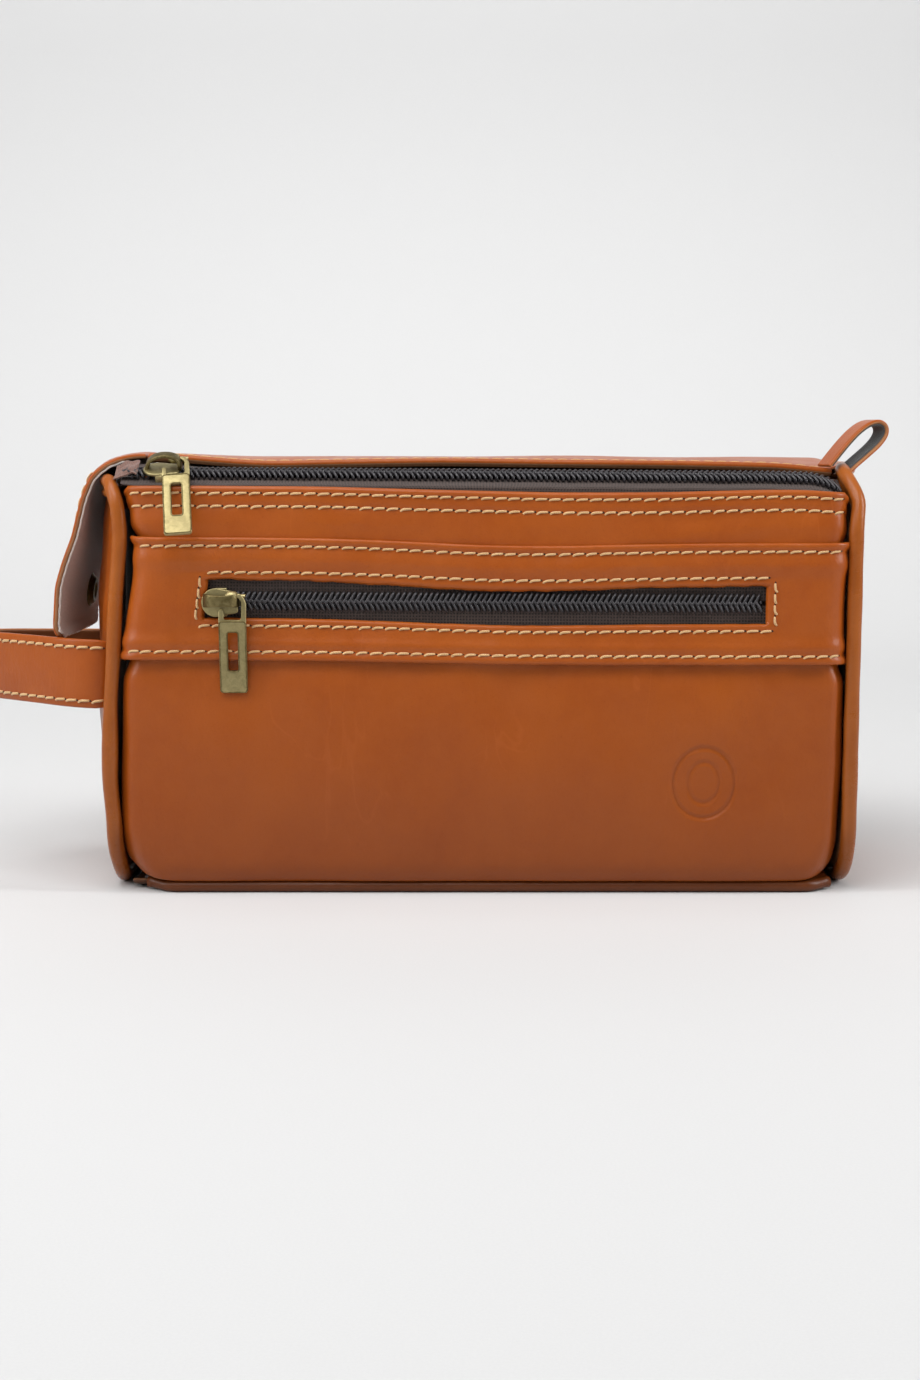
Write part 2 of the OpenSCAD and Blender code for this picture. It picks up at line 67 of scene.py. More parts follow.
BAND_LOW, BAND_HIGH = box_mm("front_top_band")
RIGHT_LOW, RIGHT_HIGH = box_mm("right_piping_cover")
COIL_LOW, COIL_HIGH = box_mm("pocket_zip_upper_coil")
FRONT_Y = BAND_LOW[1]
FRONT_Z = BAND_HIGH[2]
WALL_X = BAND_HIGH[0]
POCKET_Z0 = box_mm("front_pocket_panel")[0][2]
LID_Y = box_mm("lid_panel")[0][1]
PIPE_R = (RIGHT_HIGH[0] - RIGHT_LOW[0]) / 2
SEAM_Y = box_mm("back_panel")[1][1] - PIPE_R
LEFT_TOP = box_mm("left_piping_cover")[1][2] - PIPE_R + 0.6
RIGHT_TOP = RIGHT_HIGH[2] - PIPE_R
POCKET_ZIP_Z = (box_mm("pocket_zip_lower_coil")[1][2] + COIL_LOW[2]) / 2
WINDOW_X = COIL_HIGH[0] + 0.5

SKIN = 1.6  # thickness of the leather
LOW_R = 26.0  # radius of the ends' lower corners
ZIP_TILT = math.radians(24)  # the main zip leans back from the front
CHAIN_U = 7.2  # from the top band to the middle of the main zip's chain
MAIN_SLIDER_X = -105.0
POCKET_SLIDER_X = -85.4
SNAP_Z = 96.0
NEAR_EDGE = np.array([0, 0.06, 0.2, 0.42, 0.7])  # grid places in a sheet's edge, as shares of it


# ---- small maths


def step(t):
    """Smooth step from 0 to 1."""
    t = np.clip(t, 0, 1)
    return t * t * (3 - 2 * t)


def hump(distance, width):
    """1 at no distance, falling softly to almost 0 at twice the width."""
    return np.exp(-((distance / width) ** 2))


def floats(*arrays):
    """The arrays as decimal numbers, all of one shape."""
    return np.broadcast_arrays(*(np.asarray(a, float) for a in arrays))


def smooth_curve(knots, values, soft):
    """A line through the knots, rounded over a distance of about soft."""
    grid = np.linspace(knots[0] - 3 * soft, knots[-1] + 3 * soft, 801)
    reach = int(3 * soft / (grid[1] - grid[0]))
    weights = np.exp(-0.5 * (np.arange(-reach, reach + 1) * (grid[1] - grid[0]) / soft) ** 2)
    line = np.pad(np.interp(grid, knots, values), reach, mode="edge")
    line = np.convolve(line, weights / weights.sum(), mode="valid")
    return lambda t: np.interp(t, grid, line)


RIPPLES = 7  # waves in a swell


def ripples(a, b, size, seed):
    """Soft random swell over a surface, about -1 to 1, with bumps roughly size apart."""
    rng = np.random.default_rng(seed)
    total = 0
    for _ in range(RIPPLES):
        turn, length = rng.uniform(0, math.pi), size * rng.uniform(0.7, 1.7)
        phase = rng.uniform(0, 2 * math.pi)
        total = total + np.sin(
            2 * math.pi * (a * math.cos(turn) + b * math.sin(turn)) / length + phase
        )
    return total / math.sqrt(RIPPLES * 1.6)


def lines(*stops, gap=2.0, edge=0.0):
    """Grid places through every stop, about gap apart, closer together at the two ends."""
    out = [np.linspace(a, b, max(2, round((b - a) / gap) + 1)) for a, b in zip(stops, stops[1:])]
    if edge:
        near = edge * NEAR_EDGE
        out[0] = np.concatenate([stops[0] + near, out[0][out[0] > stops[0] + edge]])
        out[-1] = np.concatenate([out[-1][out[-1] < stops[-1] - edge], stops[-1] - near[::-1]])
    return np.unique(np.round(np.concatenate(out), 6))


def refined(places, low, high, gap):
    """The places, with those between low and high set gap apart."""
    outside = [p for p in places if p < low - gap / 2 or p > high + gap / 2]
    return np.array(sorted(outside + list(np.linspace(low, high, round((high - low) / gap) + 1))))


def grid_of(us, vs):
    """Every place u with every place v, as two grids."""
    return np.meshgrid(us, vs, indexing="ij")


def run_along(points):
    """Distance along a line of points at each of them."""
    return np.concatenate([[0], np.cumsum(np.linalg.norm(np.diff(points, axis=0), axis=1))])


def rounded_line(points, soft):
    """A flat line of points, rounded: its two places at a distance along it, and its length."""
    run = run_along(points)
    return smooth_curve(run, points[:, 0], soft), smooth_curve(run, points[:, 1], soft), run[-1]


def beside(line, t, out, reach):
    """The places at distances t along a rounded line, moved off it to its right by out."""
    a_of, b_of, _ = line
    da, db = a_of(t + reach) - a_of(t - reach), b_of(t + reach) - b_of(t - reach)
    size = np.hypot(da, db)
    return a_of(t) + db / size * out, b_of(t) - da / size * out


def rounded_edge(distance, radius):
    """Share of a sheet's half-thickness left at a distance from its edge."""
    t = np.clip(np.asarray(distance, float) / radius, 0, 1)
    return np.sqrt(np.clip(1 - (1 - t) ** 2, 0, 1))


# ---- meshes


def mesh_object(name, parts, materials, body=None, replaces=()):
    """One object from parts, each (points in mm, faces, material number or numbers, flat places
    per point or None)."""
    points, faces, numbers, flats, base = [], [], [], [], 0
    for verts, polys, number, flat in parts:
        verts = np.asarray(verts, float).reshape(-1, 3)
        points.append(verts)
        faces += [tuple(int(i) + base for i in p) for p in polys]
        numbers += [number] * len(polys) if np.isscalar(number) else list(number)
        flats.append(np.zeros((len(verts), 2)) if flat is None else np.asarray(flat, float))
        base += len(verts)
    points, flats = np.concatenate(points), np.concatenate(flats)
    mesh = bpy.data.meshes.new(name)
    mesh.from_pydata((points * MM).tolist(), [], faces)
    mesh.polygons.foreach_set("material_index", numbers)
    mesh.polygons.foreach_set("use_smooth", [True] * len(faces))
    for material in materials:
        mesh.materials.append(material)
    rest = mesh.attributes.new("rest", "FLOAT_VECTOR", "POINT")
    rest.data.foreach_set("vector", points.astype(np.float32).ravel())
    corner = np.zeros(len(mesh.loops), np.int32)
    mesh.loops.foreach_get("vertex_index", corner)
    layer = mesh.uv_layers.new(name="flat")
    layer.data.foreach_set("uv", flats[corner].astype(np.float32).ravel())
    mesh.update()
    obj = bpy.data.objects.new(name, mesh)
    bpy.context.scene.collection.objects.link(obj)
    if body:
        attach(obj, body)
    if replaces:
        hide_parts(*replaces)
    return obj


def grid_normals(points):
    """Unit normals of a grid of points: across its first direction times its second."""
    along = np.gradient(points, axis=0)
    across = np.gradient(points, axis=1)
    normal = np.cross(along, across)
    return normal / np.maximum(np.linalg.norm(normal, axis=2, keepdims=True), 1e-9)


def sheet_part(points, us, vs, thick, edge_r=None, hole=None, numbers=(0, 0)):
    """A closed sheet with rounded edges under a grid of points, which is its outer face. thick is
    one number or one per point, hole is (u0, u1, v0, v1) and numbers are the two faces' materials."""
    nu, nv = len(us), len(vs)
    normal = grid_normals(points)
    u, v = grid_of(us, vs)
    half = np.broadcast_to(np.asarray(thick, float), u.shape)[..., None] / 2
    radius = edge_r or np.mean(half)
    distance = np.minimum(np.minimum(u - us[0], us[-1] - u), np.minimum(v - vs[0], vs[-1] - v))
    keep = np.ones((nu - 1, nv - 1), bool)
    if hole:
        u0, u1, v0, v1 = hole
        outside = np.maximum(np.maximum(u0 - u, u - u1), np.maximum(v0 - v, v - v1))
        distance = np.minimum(distance, np.maximum(outside, 0))
        mu, mv = (us[1:] + us[:-1]) / 2, (vs[1:] + vs[:-1]) / 2
        inside = ((mu > u0) & (mu < u1))[:, None] & ((mv > v0) & (mv < v1))[None, :]
        keep = ~inside
    share = rounded_edge(distance, radius)
    middle = points - normal * half
    reach = half * share[..., None] * normal
    front, back = middle + reach, middle - reach
    welded = share < 1e-6
    f_id = np.arange(nu * nv).reshape(nu, nv)
    b_id = np.where(welded, f_id, f_id + nu * nv)
    i, j = np.nonzero(keep)
    quads = [
        np.stack([ids[i, j], ids[i + 1, j], ids[i + 1, j + 1], ids[i, j + 1]], 1)
        for ids in (f_id, b_id)
    ]
    quads[1] = quads[1][:, ::-1]
    verts = np.concatenate([front.reshape(-1, 3), back.reshape(-1, 3)])
    flat = np.stack([u.ravel(), v.ravel()], 1)
    flat = np.concatenate([flat, flat])
    faces = np.concatenate(quads)
    used, renumbered = np.unique(faces, return_inverse=True)
    faces = renumbered.reshape(faces.shape)
    return verts[used], faces, np.repeat(numbers, len(quads[0])), flat[used]


def frames_along(path, up):
    """Unit tangents, sides and ups along a path; up is a direction or one per point."""
    path = np.asarray(path, float)
    tangent = np.gradient(path, axis=0)
    tangent /= np.linalg.norm(tangent, axis=1, keepdims=True)
    up = np.broadcast_to(np.asarray(up, float), path.shape)
    side = np.cross(tangent, up)
    side /= np.maximum(np.linalg.norm(side, axis=1, keepdims=True), 1e-9)
    return tangent, side, np.cross(side, tangent)


def sweep_part(path, up, section, scale=1.0, closed=False):
    """A section of (side, up) points swept along a path. scale is one number or one per point."""
    path = np.asarray(path, float)
    if closed:
        wrapped = np.concatenate([path[-2:], path, path[:2]])
        ups = np.broadcast_to(np.asarray(up, float), path.shape)
        ups = np.concatenate([ups[-2:], ups, ups[:2]])
        _, side, lift = (a[2:-2] for a in frames_along(wrapped, ups))
    else:
        _, side, lift = frames_along(path, up)
    section = np.asarray(section, float)
    scale = np.broadcast_to(np.asarray(scale, float), (len(path),))
    verts = (path[:, None] + scale[:, None, None] * (
        section[None, :, :1] * side[:, None] + section[None, :, 1:] * lift[:, None]))
    n, m = len(path), len(section)
    ids = np.arange(n * m).reshape(n, m)
    rows = n if closed else n - 1
    faces = []
    for i in range(rows):
        a, b = ids[i], ids[(i + 1) % n]
        faces += [(a[j], a[(j + 1) % m], b[(j + 1) % m], b[j]) for j in range(m)]
    if not closed:
        faces += [tuple(ids[0][::-1]), tuple(ids[-1])]
    flat = np.stack(grid_of(run_along(path), np.arange(m) / m), -1)
    return verts.reshape(-1, 3), faces, 0, flat.reshape(-1, 2)


def ring_section(radius, n, squash=1.0):
    """Points of a round section, squashed in its up direction."""
    a = np.arange(n) * 2 * math.pi / n
    return np.stack([radius * np.cos(a), radius * squash * np.sin(a)], 1)


def rounded_bar(width, height, r):
    """Points of a rectangular section with rounded corners."""
    n = 3
    pts = []
    for k, (sx, sy) in enumerate([(1, 1), (-1, 1), (-1, -1), (1, -1)]):
        for i in range(n + 1):
            a = math.pi / 2 * (k + i / n)
            pts.append((sx * (width / 2 - r) + r * math.cos(a),
                        sy * (height / 2 - r) + r * math.sin(a)))
    return np.array(pts)


def moved(part, matrix):
    """A part turned and moved by a 4x4 matrix."""
    verts, faces, number, flat = part
    verts = np.asarray(verts, float) @ np.array(matrix.to_3x3()).T + np.array(matrix.translation)
    return verts, faces, number, flat


def turned(place, degrees, axis):
    """A matrix that turns about an axis and then moves to a place."""
    return Matrix.Translation(place) @ Matrix.Rotation(math.radians(degrees), 4, axis)


def plate_part(outline, holes, z0, thick, bevel):
    """A flat plate with holes and rounded edges, from Blender's filled curve."""
    curve = bpy.data.curves.new("plate", "CURVE")
    curve.dimensions, curve.fill_mode = "2D", "BOTH"
    curve.extrude, curve.bevel_depth = thick / 2 - bevel, bevel
    curve.bevel_resolution, curve.offset = 2, -bevel
    for ring in [outline, *holes]:
        spline = curve.splines.new("POLY")
        spline.points.add(len(ring) - 1)
        for point, (x, y) in zip(spline.points, ring):
            point.co = (x, y, 0, 1)
        spline.use_cyclic_u = True
    obj = bpy.data.objects.new("plate", curve)
    bpy.context.scene.collection.objects.link(obj)
    mesh = bpy.data.meshes.new_from_object(obj.evaluated_get(bpy.context.evaluated_depsgraph_get()))
    shape = bmesh.new()
    shape.from_mesh(mesh)
    bmesh.ops.remove_doubles(shape, verts=shape.verts, dist=1e-4)
    bmesh.ops.recalc_face_normals(shape, faces=shape.faces)
    verts = np.array([v.co for v in shape.verts]) + [0, 0, z0 + thick / 2]
    faces = [tuple(v.index for v in f.verts) for f in shape.faces]
    shape.free()
    bpy.data.objects.remove(obj)
    bpy.data.curves.remove(curve)
    bpy.data.meshes.remove(mesh)
    return verts, faces, 0, None


def arc_points(cx, cy, r, start, end, n):
    """Points of an arc in degrees."""
    return [(cx + r * math.cos(math.radians(a)), cy + r * math.sin(math.radians(a)))
            for a in np.linspace(start, end, n)]


def rounded_rect(x0, x1, y0, y1, r, n=5):
    """Outline of a rectangle with rounded corners."""
    return (arc_points(x1 - r, y1 - r, r, 0, 90, n) + arc_points(x0 + r, y1 - r, r, 90, 180, n)
            + arc_points(x0 + r, y0 + r, r, 180, 270, n) + arc_points(x1 - r, y0 + r, r, 270, 360, n))


def lathe_part(profile, n, matrix):
    """A turned shape: profile is (radius, height) points from its axis out and back to its axis."""
    profile = np.asarray(profile, float)
    a = np.arange(n) * 2 * math.pi / n
    verts = np.stack([profile[:, :1] * np.cos(a), profile[:, :1] * np.sin(a),
                      np.repeat(profile[:, 1:], n, 1)], -1).reshape(-1, 3)
    m = len(profile)
    faces = [(i * n + j, i * n + (j + 1) % n, (i + 1) * n + (j + 1) % n, (i + 1) * n + j)
             for i in range(m - 1) for j in range(n)]
    faces += [tuple(range(n))[::-1], tuple(range((m - 1) * n, m * n))]
    return moved((verts, faces, 0, None), matrix)


# ---- the soft shape of the bag

left_end = smooth_curve([4, 6.5, 11, 20, 38, 55, 73, 80, 96, 112, 118, 122, 133],
                        [113.5, 116.6, 119.8, 121.1, 121.2, 120.3, 119.4, 117.0, 114.9, 112.2, 112.4,
                         115.2, 117.6], 1.5)
right_end = smooth_curve([4, 9, 18, 45, 74, 81, 100, 117, 122, 132],
                         [115, 118.2, 119.5, 120.3, 120.2, 117.6, 117.4, 117.5, 119.8, 120.1], 1.5)
band_edge = smooth_curve([-117, -100, -53, -14, 25, 60, 90, 108, 117],
                         [136.2, 136.3, 136, 134.9, 134, 134.1, 134.9, 135, 133.8], 6)
lid_edge = smooth_curve([-117, -106, -92, -73, -53, -14, 25, 65, 100, 119],
                        [146, 146.2, 144.7, 143.3, 143.8, 144.4, 143.8, 143.5, 142.8, 140.6], 6)
ROLL_R = 7.0
ROLL_END = math.radians(84)


def end_pull(x):
    """How far a wall has drawn in at x, from 0 along the bag to 1 at its ends."""
    return step((np.abs(x) - WALL_X + 12) / 12)


def droop(x, z):
    """The front sags to the right of the zip pulls, more at the top than at the bottom."""
    slope = -(1 + np.tanh((x + 20) / 40)) * np.clip((z - 12) / 80, 0, 1)
    return slope - 1.2 * hump(x - 10, 42) * step((z - 84) / 14)


def front_ends(s, z):
    """Half-length of the front wall at height z, on the side that s is on."""
    return np.where(s < 0, left_end(z), right_end(z))


def back_ends(s, z):
    """Half-length of the back wall at height z."""
    return WALL_X + 0.6 - 4.6 * step((16 - z) / 14) + 0 * s


def wall_ends(s, z, out=0.0, ends=front_ends):
    """X and the distance drawn back at s, a share of a wall's half-length."""
    end = ends(s, z)
    start = end - ROLL_R * math.sin(ROLL_END)
    reach = start + ROLL_R * ROLL_END
    turn = np.clip((np.abs(s) * reach - start) / ROLL_R, 0, ROLL_END)
    x = np.minimum(np.abs(s) * reach, start) + (ROLL_R + out) * np.sin(turn)
    return np.sign(s) * x, ROLL_R * (1 - np.cos(turn))


def corner_in(x, z):
    """How far a wall has curved in under itself near the ground."""
    r = 11 + (LOW_R - 11) * end_pull(x)
    drop = np.clip(r + 0.05 - z, 0, r)
    return r - np.sqrt(r * r - drop * drop)


def wall_depth(x, z):
    """Y of the front wall's face away from its rolled ends."""
    across = 1 - (x / WALL_X) ** 4
    low = np.sin(math.pi * np.clip((z - 2) / 84, 0, 1)) ** 0.8
    return FRONT_Y - 0.3 - across * (2.3 * low + 0.5) - 0.35 * ripples(x, z, 60, 3)


def on_wall(s, z, out=0.0, ends=front_ends):
    """Point of the front wall at share s and height z, out from its face."""
    s, z = floats(s, z)
    x, back = wall_ends(s, z, out, ends)
    y = wall_depth(x, z) - out + back + corner_in(x, z)
    return np.stack([x, y, z + droop(x, z)], -1)


def share_at(x, z=60.0):
    """Share of the front wall's half-length at which its face reaches x."""
    table = np.linspace(-1, 1, 801)
    return np.interp(x, wall_ends(table, z)[0], table)


def groove(distance, width, depth):
    """How far the leather is pulled in at a distance from a seam or a pressed line."""
    return -depth * hump(distance, width)


def row_grooves(distance, rows, depth=0.22):
    """Grooves that rows of stitches pull into the leather, at their distances."""
    return sum(groove(distance - row, 0.9, depth) for row in rows)


# Front lower panel, with its blind-stamped ring

STAMP = (73.0, 38.5)


def stamp(x, z):
    """Depth of the ring pressed into the leather, with a smaller one inside it."""
    r = np.hypot((x - STAMP[0]) / 10.2, (z - STAMP[1]) / 12.0)
    inner = np.hypot((x - STAMP[0]) / 5.2, (z - STAMP[1]) / 7.0)
    return (groove((r - 1) * 11, 0.6, 0.62) + groove((inner - 1) * 6, 0.55, 0.42)
            - 0.2 * step((1 - r) * 6))


def lower_wall(s, v):
    """The lower panel: v runs from 0 at the bottom seam to 1 behind the pocket panel."""
    x = wall_ends(s, 20.0)[0]
    z0 = 3.5 + 1.6 * end_pull(x)
    z = z0 + v * (POCKET_Z0 + 7 - z0)
    bumps = 0.3 * ripples(x, z * 0.6, 34, 5) + 0.1 * ripples(x * 1.6, z * 0.5, 15, 6)
    bumps = bumps + 0.03 * ripples(x * 2.4 + z * 0.5, z * 0.35, 9, 14)
    bumps = bumps * step(z / 24) - 0.5 * hump(z - POCKET_Z0, 3)
    return on_wall(s, z, bumps + stamp(x, z))


# Front top band

BAND_ROWS = (2.6, 6.9)


def top_band(s, v):
    """The top band: v is the distance down from its edge."""
    x = wall_ends(s, 128.0)[0]
    edge = band_edge(x) - 2.0 * step((np.abs(s) - 0.968) / 0.032)
    z = edge - v - droop(x, edge)
    puff = 0.45 * hump(v - 1.2, 1.3) + 0.3 * step((v - 8) / 5)
    out = 0.35 + row_grooves(v, BAND_ROWS) + puff + 0.12 * ripples(x, v * 2, 18, 8)
    lean = 1.1 * step((2.2 - v) / 3)
    return on_wall(s, z, out) + np.stack([0 * lean, lean, 0 * lean], -1)


# Pocket panel

POCKET_TOP, POCKET_LOW = 119.4, 78.7
ZIP_Z = 98.9
WINDOW_HALF = 6.2  # half the window's height
WINDOW_TOP, WINDOW_LOW = ZIP_Z + WINDOW_HALF, ZIP_Z - WINDOW_HALF
POCKET_ROWS = (POCKET_TOP - 2.9, POCKET_LOW + 3.1)
WINDOW_ROWS = (WINDOW_TOP + 2.8, WINDOW_LOW - 2.4)
WINDOW_SIDE = WINDOW_X + 2.9


def pocket_wall(s, z):
    """The pocket panel's face at height z before it sags."""
    x = wall_ends(s, z)[0]
    near = np.abs(x) < WINDOW_SIDE + 1
    rows = row_grooves(z, POCKET_ROWS) + np.where(near, row_grooves(z, WINDOW_ROWS, 0.2), 0)
    high = np.clip((z - WINDOW_ROWS[1]) / 2, 0, 1) * np.clip((WINDOW_ROWS[0] - z) / 2, 0, 1)
    rows = rows + groove(np.abs(x) - WINDOW_SIDE, 0.9, 0.2) * step(high)
    hem = 0.5 * hump(POCKET_TOP - z - 1.4, 1.4) + 0.4 * hump(z - POCKET_LOW - 1.6, 1.4)
    puff = 0.55 * hump(z - 112, 3) + 0.5 * hump(z - 84.8, 2.4)
    puff = puff + 0.8 * step((np.abs(x) - WINDOW_SIDE - 2) / 8)
    swell = 0.3 * ripples(x, z * 0.5, 26, 12) + 0.1 * ripples(x * 1.5, z * 0.4, 11, 13)
    return on_wall(s, z, 1.75 + rows + hem + puff + swell)


# ---- the soft ends and the lid

ARC_R = 14.0
ARC_Y, ARC_Z = 42.5, 130.2
left_pipe = smooth_curve([0, 5, 14, 38, 63, 80, 96, 107, 120, 133, 139],
                         [-121, -121, -121.5, -123.1, -122.2, -120.9, -120.1, -119.2, -118.1,
                          -119.6, -121], 3)
left_bulge = smooth_curve([2, 15, 38, 60, 100, 120, 137], [0, 4, 8, 10.2, 10.2, 8.6, 5.8], 4)
right_bulge = smooth_curve([2, 20, 60, 110, 128, 141], [0, 1.5, 4.5, 9.2, 8.6, 3.8], 4)


def left_face(y, z):
    """X of the left end panel, which bows out between its seams."""
    bow = np.clip(np.cos(math.pi * np.asarray(y) / (2.02 * SEAM_Y)), 0, 1) ** 0.5
    front = step((-np.asarray(y) - 26) / 24)
    dent = 2.6 * hump(np.hypot(y, np.asarray(z) - SNAP_Z), 14)
    return -122.3 - left_bulge(z) * bow + (left_pipe(z) + 122.3) * front + dent


def right_face(y, z):
    """X of the right end panel, which leans in at its front top."""
    bow = np.clip(np.cos(math.pi * np.asarray(y) / (2.02 * SEAM_Y)), 0, 1) ** 0.6
    front = step((-np.asarray(y) - 14) / 20)
    return 122.3 + right_bulge(z) * bow - 4.4 * front * step((np.asarray(z) - 129) / 13)


def ring_path(top, gap, r_front, r_back):
    """(y, z) of a side seam: round lower corners, tighter upper ones, from the middle of the top."""
    low = PIPE_R + 0.1
    low_r = LOW_R - PIPE_R
    line = [(0, top)]
    line += arc_points(SEAM_Y - r_back, top - r_back, r_back, 90, 0, 8)
    line += arc_points(SEAM_Y - low_r, low + low_r, low_r, 0, -90, 14)
    line += arc_points(-SEAM_Y + low_r, low + low_r, low_r, -90, -180, 14)
    line += arc_points(-SEAM_Y + r_front, top - r_front, r_front, 180, 90, 8)
    line = np.array(line + [(0, top)])
    run = run_along(line)
    t = np.linspace(0, run[-1], int(run[-1] / gap))[:-1]
    return np.stack([np.interp(t, run, line[:, 0]), np.interp(t, run, line[:, 1])], 1)


def ring_points(side, gap=2.0):
    """Middle line of a side piping in space, and the way out from the ring at each point."""
    top, front_r, face = (LEFT_TOP, 9.0, left_face) if side < 0 else (RIGHT_TOP, 20.0, right_face)
    yz = ring_path(top, gap, front_r, 11.0)
    points = np.stack([face(yz[:, 0], yz[:, 1]), yz[:, 0], yz[:, 1]], 1)
    around = np.roll(yz, -1, 0) - np.roll(yz, 1, 0)
    out = np.stack([0 * around[:, 0], -around[:, 1], around[:, 0]], 1)
    return points, out / np.linalg.norm(out, axis=1, keepdims=True)


def lid_height(x, y):
    """Z of the lid's top face."""
    t = np.clip((y - LID_Y) / (ARC_Y - LID_Y), 0, 1)
    z = lid_edge(x) + (ARC_Z + ARC_R - lid_edge(x)) * step(t)
    z = z + (0.9 + 0.5 * ripples(x, y, 70, 21)) * np.sin(math.pi * t)
    return z - 0.5 * hump(y - LID_Y - 13, 5)


def lid_left(y):
    """Left edge of the lid's leather, beside the flap at the front and the back corner behind."""
    return -112 - 7.5 * step((y - 36) / 4)


LID_TOP_RUN = ARC_Y - LID_Y
LID_ARC_RUN = ARC_R * math.pi / 2
LID_RUN = LID_TOP_RUN + LID_ARC_RUN + 8.0


def lid_surface(s, v):
    """The lid's leather at share s of its half-length, v back from its front edge, over the hinge
    and down to where it is sewn over the back panel."""
    s, v = floats(s, v)
    y_top = LID_Y + np.minimum(v, LID_TOP_RUN)
    turn = np.clip((v - LID_TOP_RUN) / ARC_R, 0, math.pi / 2)
    down = np.maximum(v - LID_TOP_RUN - LID_ARC_RUN, 0)
    left = lid_left(y_top)
    right = 117.4 + (right_face(y_top, 141.0) - 120.4) * step((y_top + 26) / 18)
    x_top = left + (s + 1) / 2 * (right - left)
    back_x, back_in = wall_ends(s, 126.0, 1.7, back_ends)
    share = step((v - LID_TOP_RUN + 4) / (LID_ARC_RUN + 4))
    x = x_top + (back_x - x_top) * share
    z = lid_height(x, y_top) - ARC_R * (1 - np.cos(turn)) - down
    y = y_top + ARC_R * np.sin(turn) - back_in * share
    return np.stack([x, y, z], -1)


def back_wall(s, z, out=0.0):
    """The back panel, seen from behind: s runs from the right end to the left one."""
    p = on_wall(-s, z, out + 0.25 * ripples(s * 60, z * 0.5, 30, 31), back_ends)
    return p * [1, -1, 1]


# Flap: down the left end from the lid's leather

FLAP_LINE = np.array([(-112, 146.1), (-114.5, 146.1), (-117, 145.8), (-121, 144.9),
                      (-125.8, 143), (-130.6, 138.9), (-133.8, 131.3), (-136.6, 118.7), (-140, 110),
                      (-142.8, 102), (-144.7, 88), (-143.3, 83)])
FLAP_BEND = rounded_line(FLAP_LINE, 1.6)
FLAP_RUN = FLAP_BEND[2]
FLAP_U, FLAP_V = 78.0, 76.0  # the flap's length and width, as its grid measures them
FLAP_FRONT, FLAP_REAR = -43.5, 36.0


def flap_edges(run):
    """Y of the flap's front edge at a distance down it; its rear edge is straight."""
    return LID_Y + (FLAP_FRONT - LID_Y) * step(run / 18)


def flap_cut(y, front):
    """How much shorter the flap is near its rounded lower corners and toward the back."""
    to_front, to_rear = y - front, FLAP_REAR - y
    cut = 6 - np.sqrt(36 - np.clip(6 - to_front, 0, 6) ** 2)
    cut = cut + 18 - np.sqrt(324 - np.clip(18 - to_rear, 0, 18) ** 2)
    return cut + 2.6 * step((y - 6) / 30)


def flap_surface(u, v, out=0.0, inset=0.0):
    """The flap's outer face at share u of its length and share v from its rear to its front edge."""
    u, v = floats(u, v)
    y_low = FLAP_REAR - inset + v * (FLAP_FRONT - FLAP_REAR + 2 * inset)
    run = u * (FLAP_RUN - inset - flap_cut(y_low, FLAP_FRONT))
    front = flap_edges(run) + inset
    y = FLAP_REAR - inset + v * (front - FLAP_REAR + inset)
    middle = np.clip(np.sin(math.pi * np.clip((y + 46) / 88, 0, 1)), 0, 1)
    push = middle * (3.0 * hump(run - 20, 13) - 3.0 * step((run - 34) / 26)) + out
    push = push + 0.5 * ripples(run, y, 40, 41) * step(run / 20)
    x, z = beside(FLAP_BEND, run, push, 0.5)
    top_x, top_z = FLAP_LINE[0]
    join = (lid_height(np.full_like(y, top_x), y) - top_z) * (1 - step(run / 14))
    return np.stack([x, y, z + join], -1)


# Handle, drawn through a few points from above

HANDLE_LINE = np.array([(-121, 46), (-125.5, 50), (-131, 50), (-140, 44), (-153, 34), (-168, 21),
                        (-177.5, 10), (-180.6, 1), (-177.5, -8), (-169, -19), (-156, -32),
                        (-143, -43.5), (-133, -49.6), (-126, -50), (-121, -45)])
HANDLE_BEND = rounded_line(HANDLE_LINE, 4)
HANDLE_RUN = HANDLE_BEND[2]
STRAP_Z, STRAP_HALF = 68.0, 11.5  # height of the handle's middle and half of its width


def handle_surface(u, v, out=0.0):
    """The strap at share u of its length and v, from -1 to 1, of its width."""
    u, v = floats(u, v)
    t = u * HANDLE_RUN
    half = 11.6 - 1.0 * (step((0.06 - u) / 0.06) + step((u - 0.94) / 0.06))
    rise = 1.9 * np.sin(math.pi * u) + 5 * step(u)
    puff = out + 0.25 * ripples(t, v * 8, 30, 51) - 0.35 * v * v
    x, y = beside(HANDLE_BEND, t, puff, 1)
    return np.stack([x, y, STRAP_Z + rise + v * half], -1)


# Pull loop

LOOP_LEAN, LOOP_TURN, LOOP_HALF = math.radians(47), math.radians(17), 4.5
LOOP_ROOT = np.array([120.8, -33.5, 143.6])
LOOP_LINE = np.array([(-3.2, -6.5), (-3.8, -2), (-4.4, 4), (-4.6, 9.4), (-3.9, 14.4), (-1.9, 18),
                      (1.0, 18.9), (3.4, 17), (4.1, 12.6), (3.8, 7.6), (3.3, 2), (3.0, -4.5)])
LOOP_BEND = rounded_line(LOOP_LINE, 1.6)
LOOP_RUN = LOOP_BEND[2]


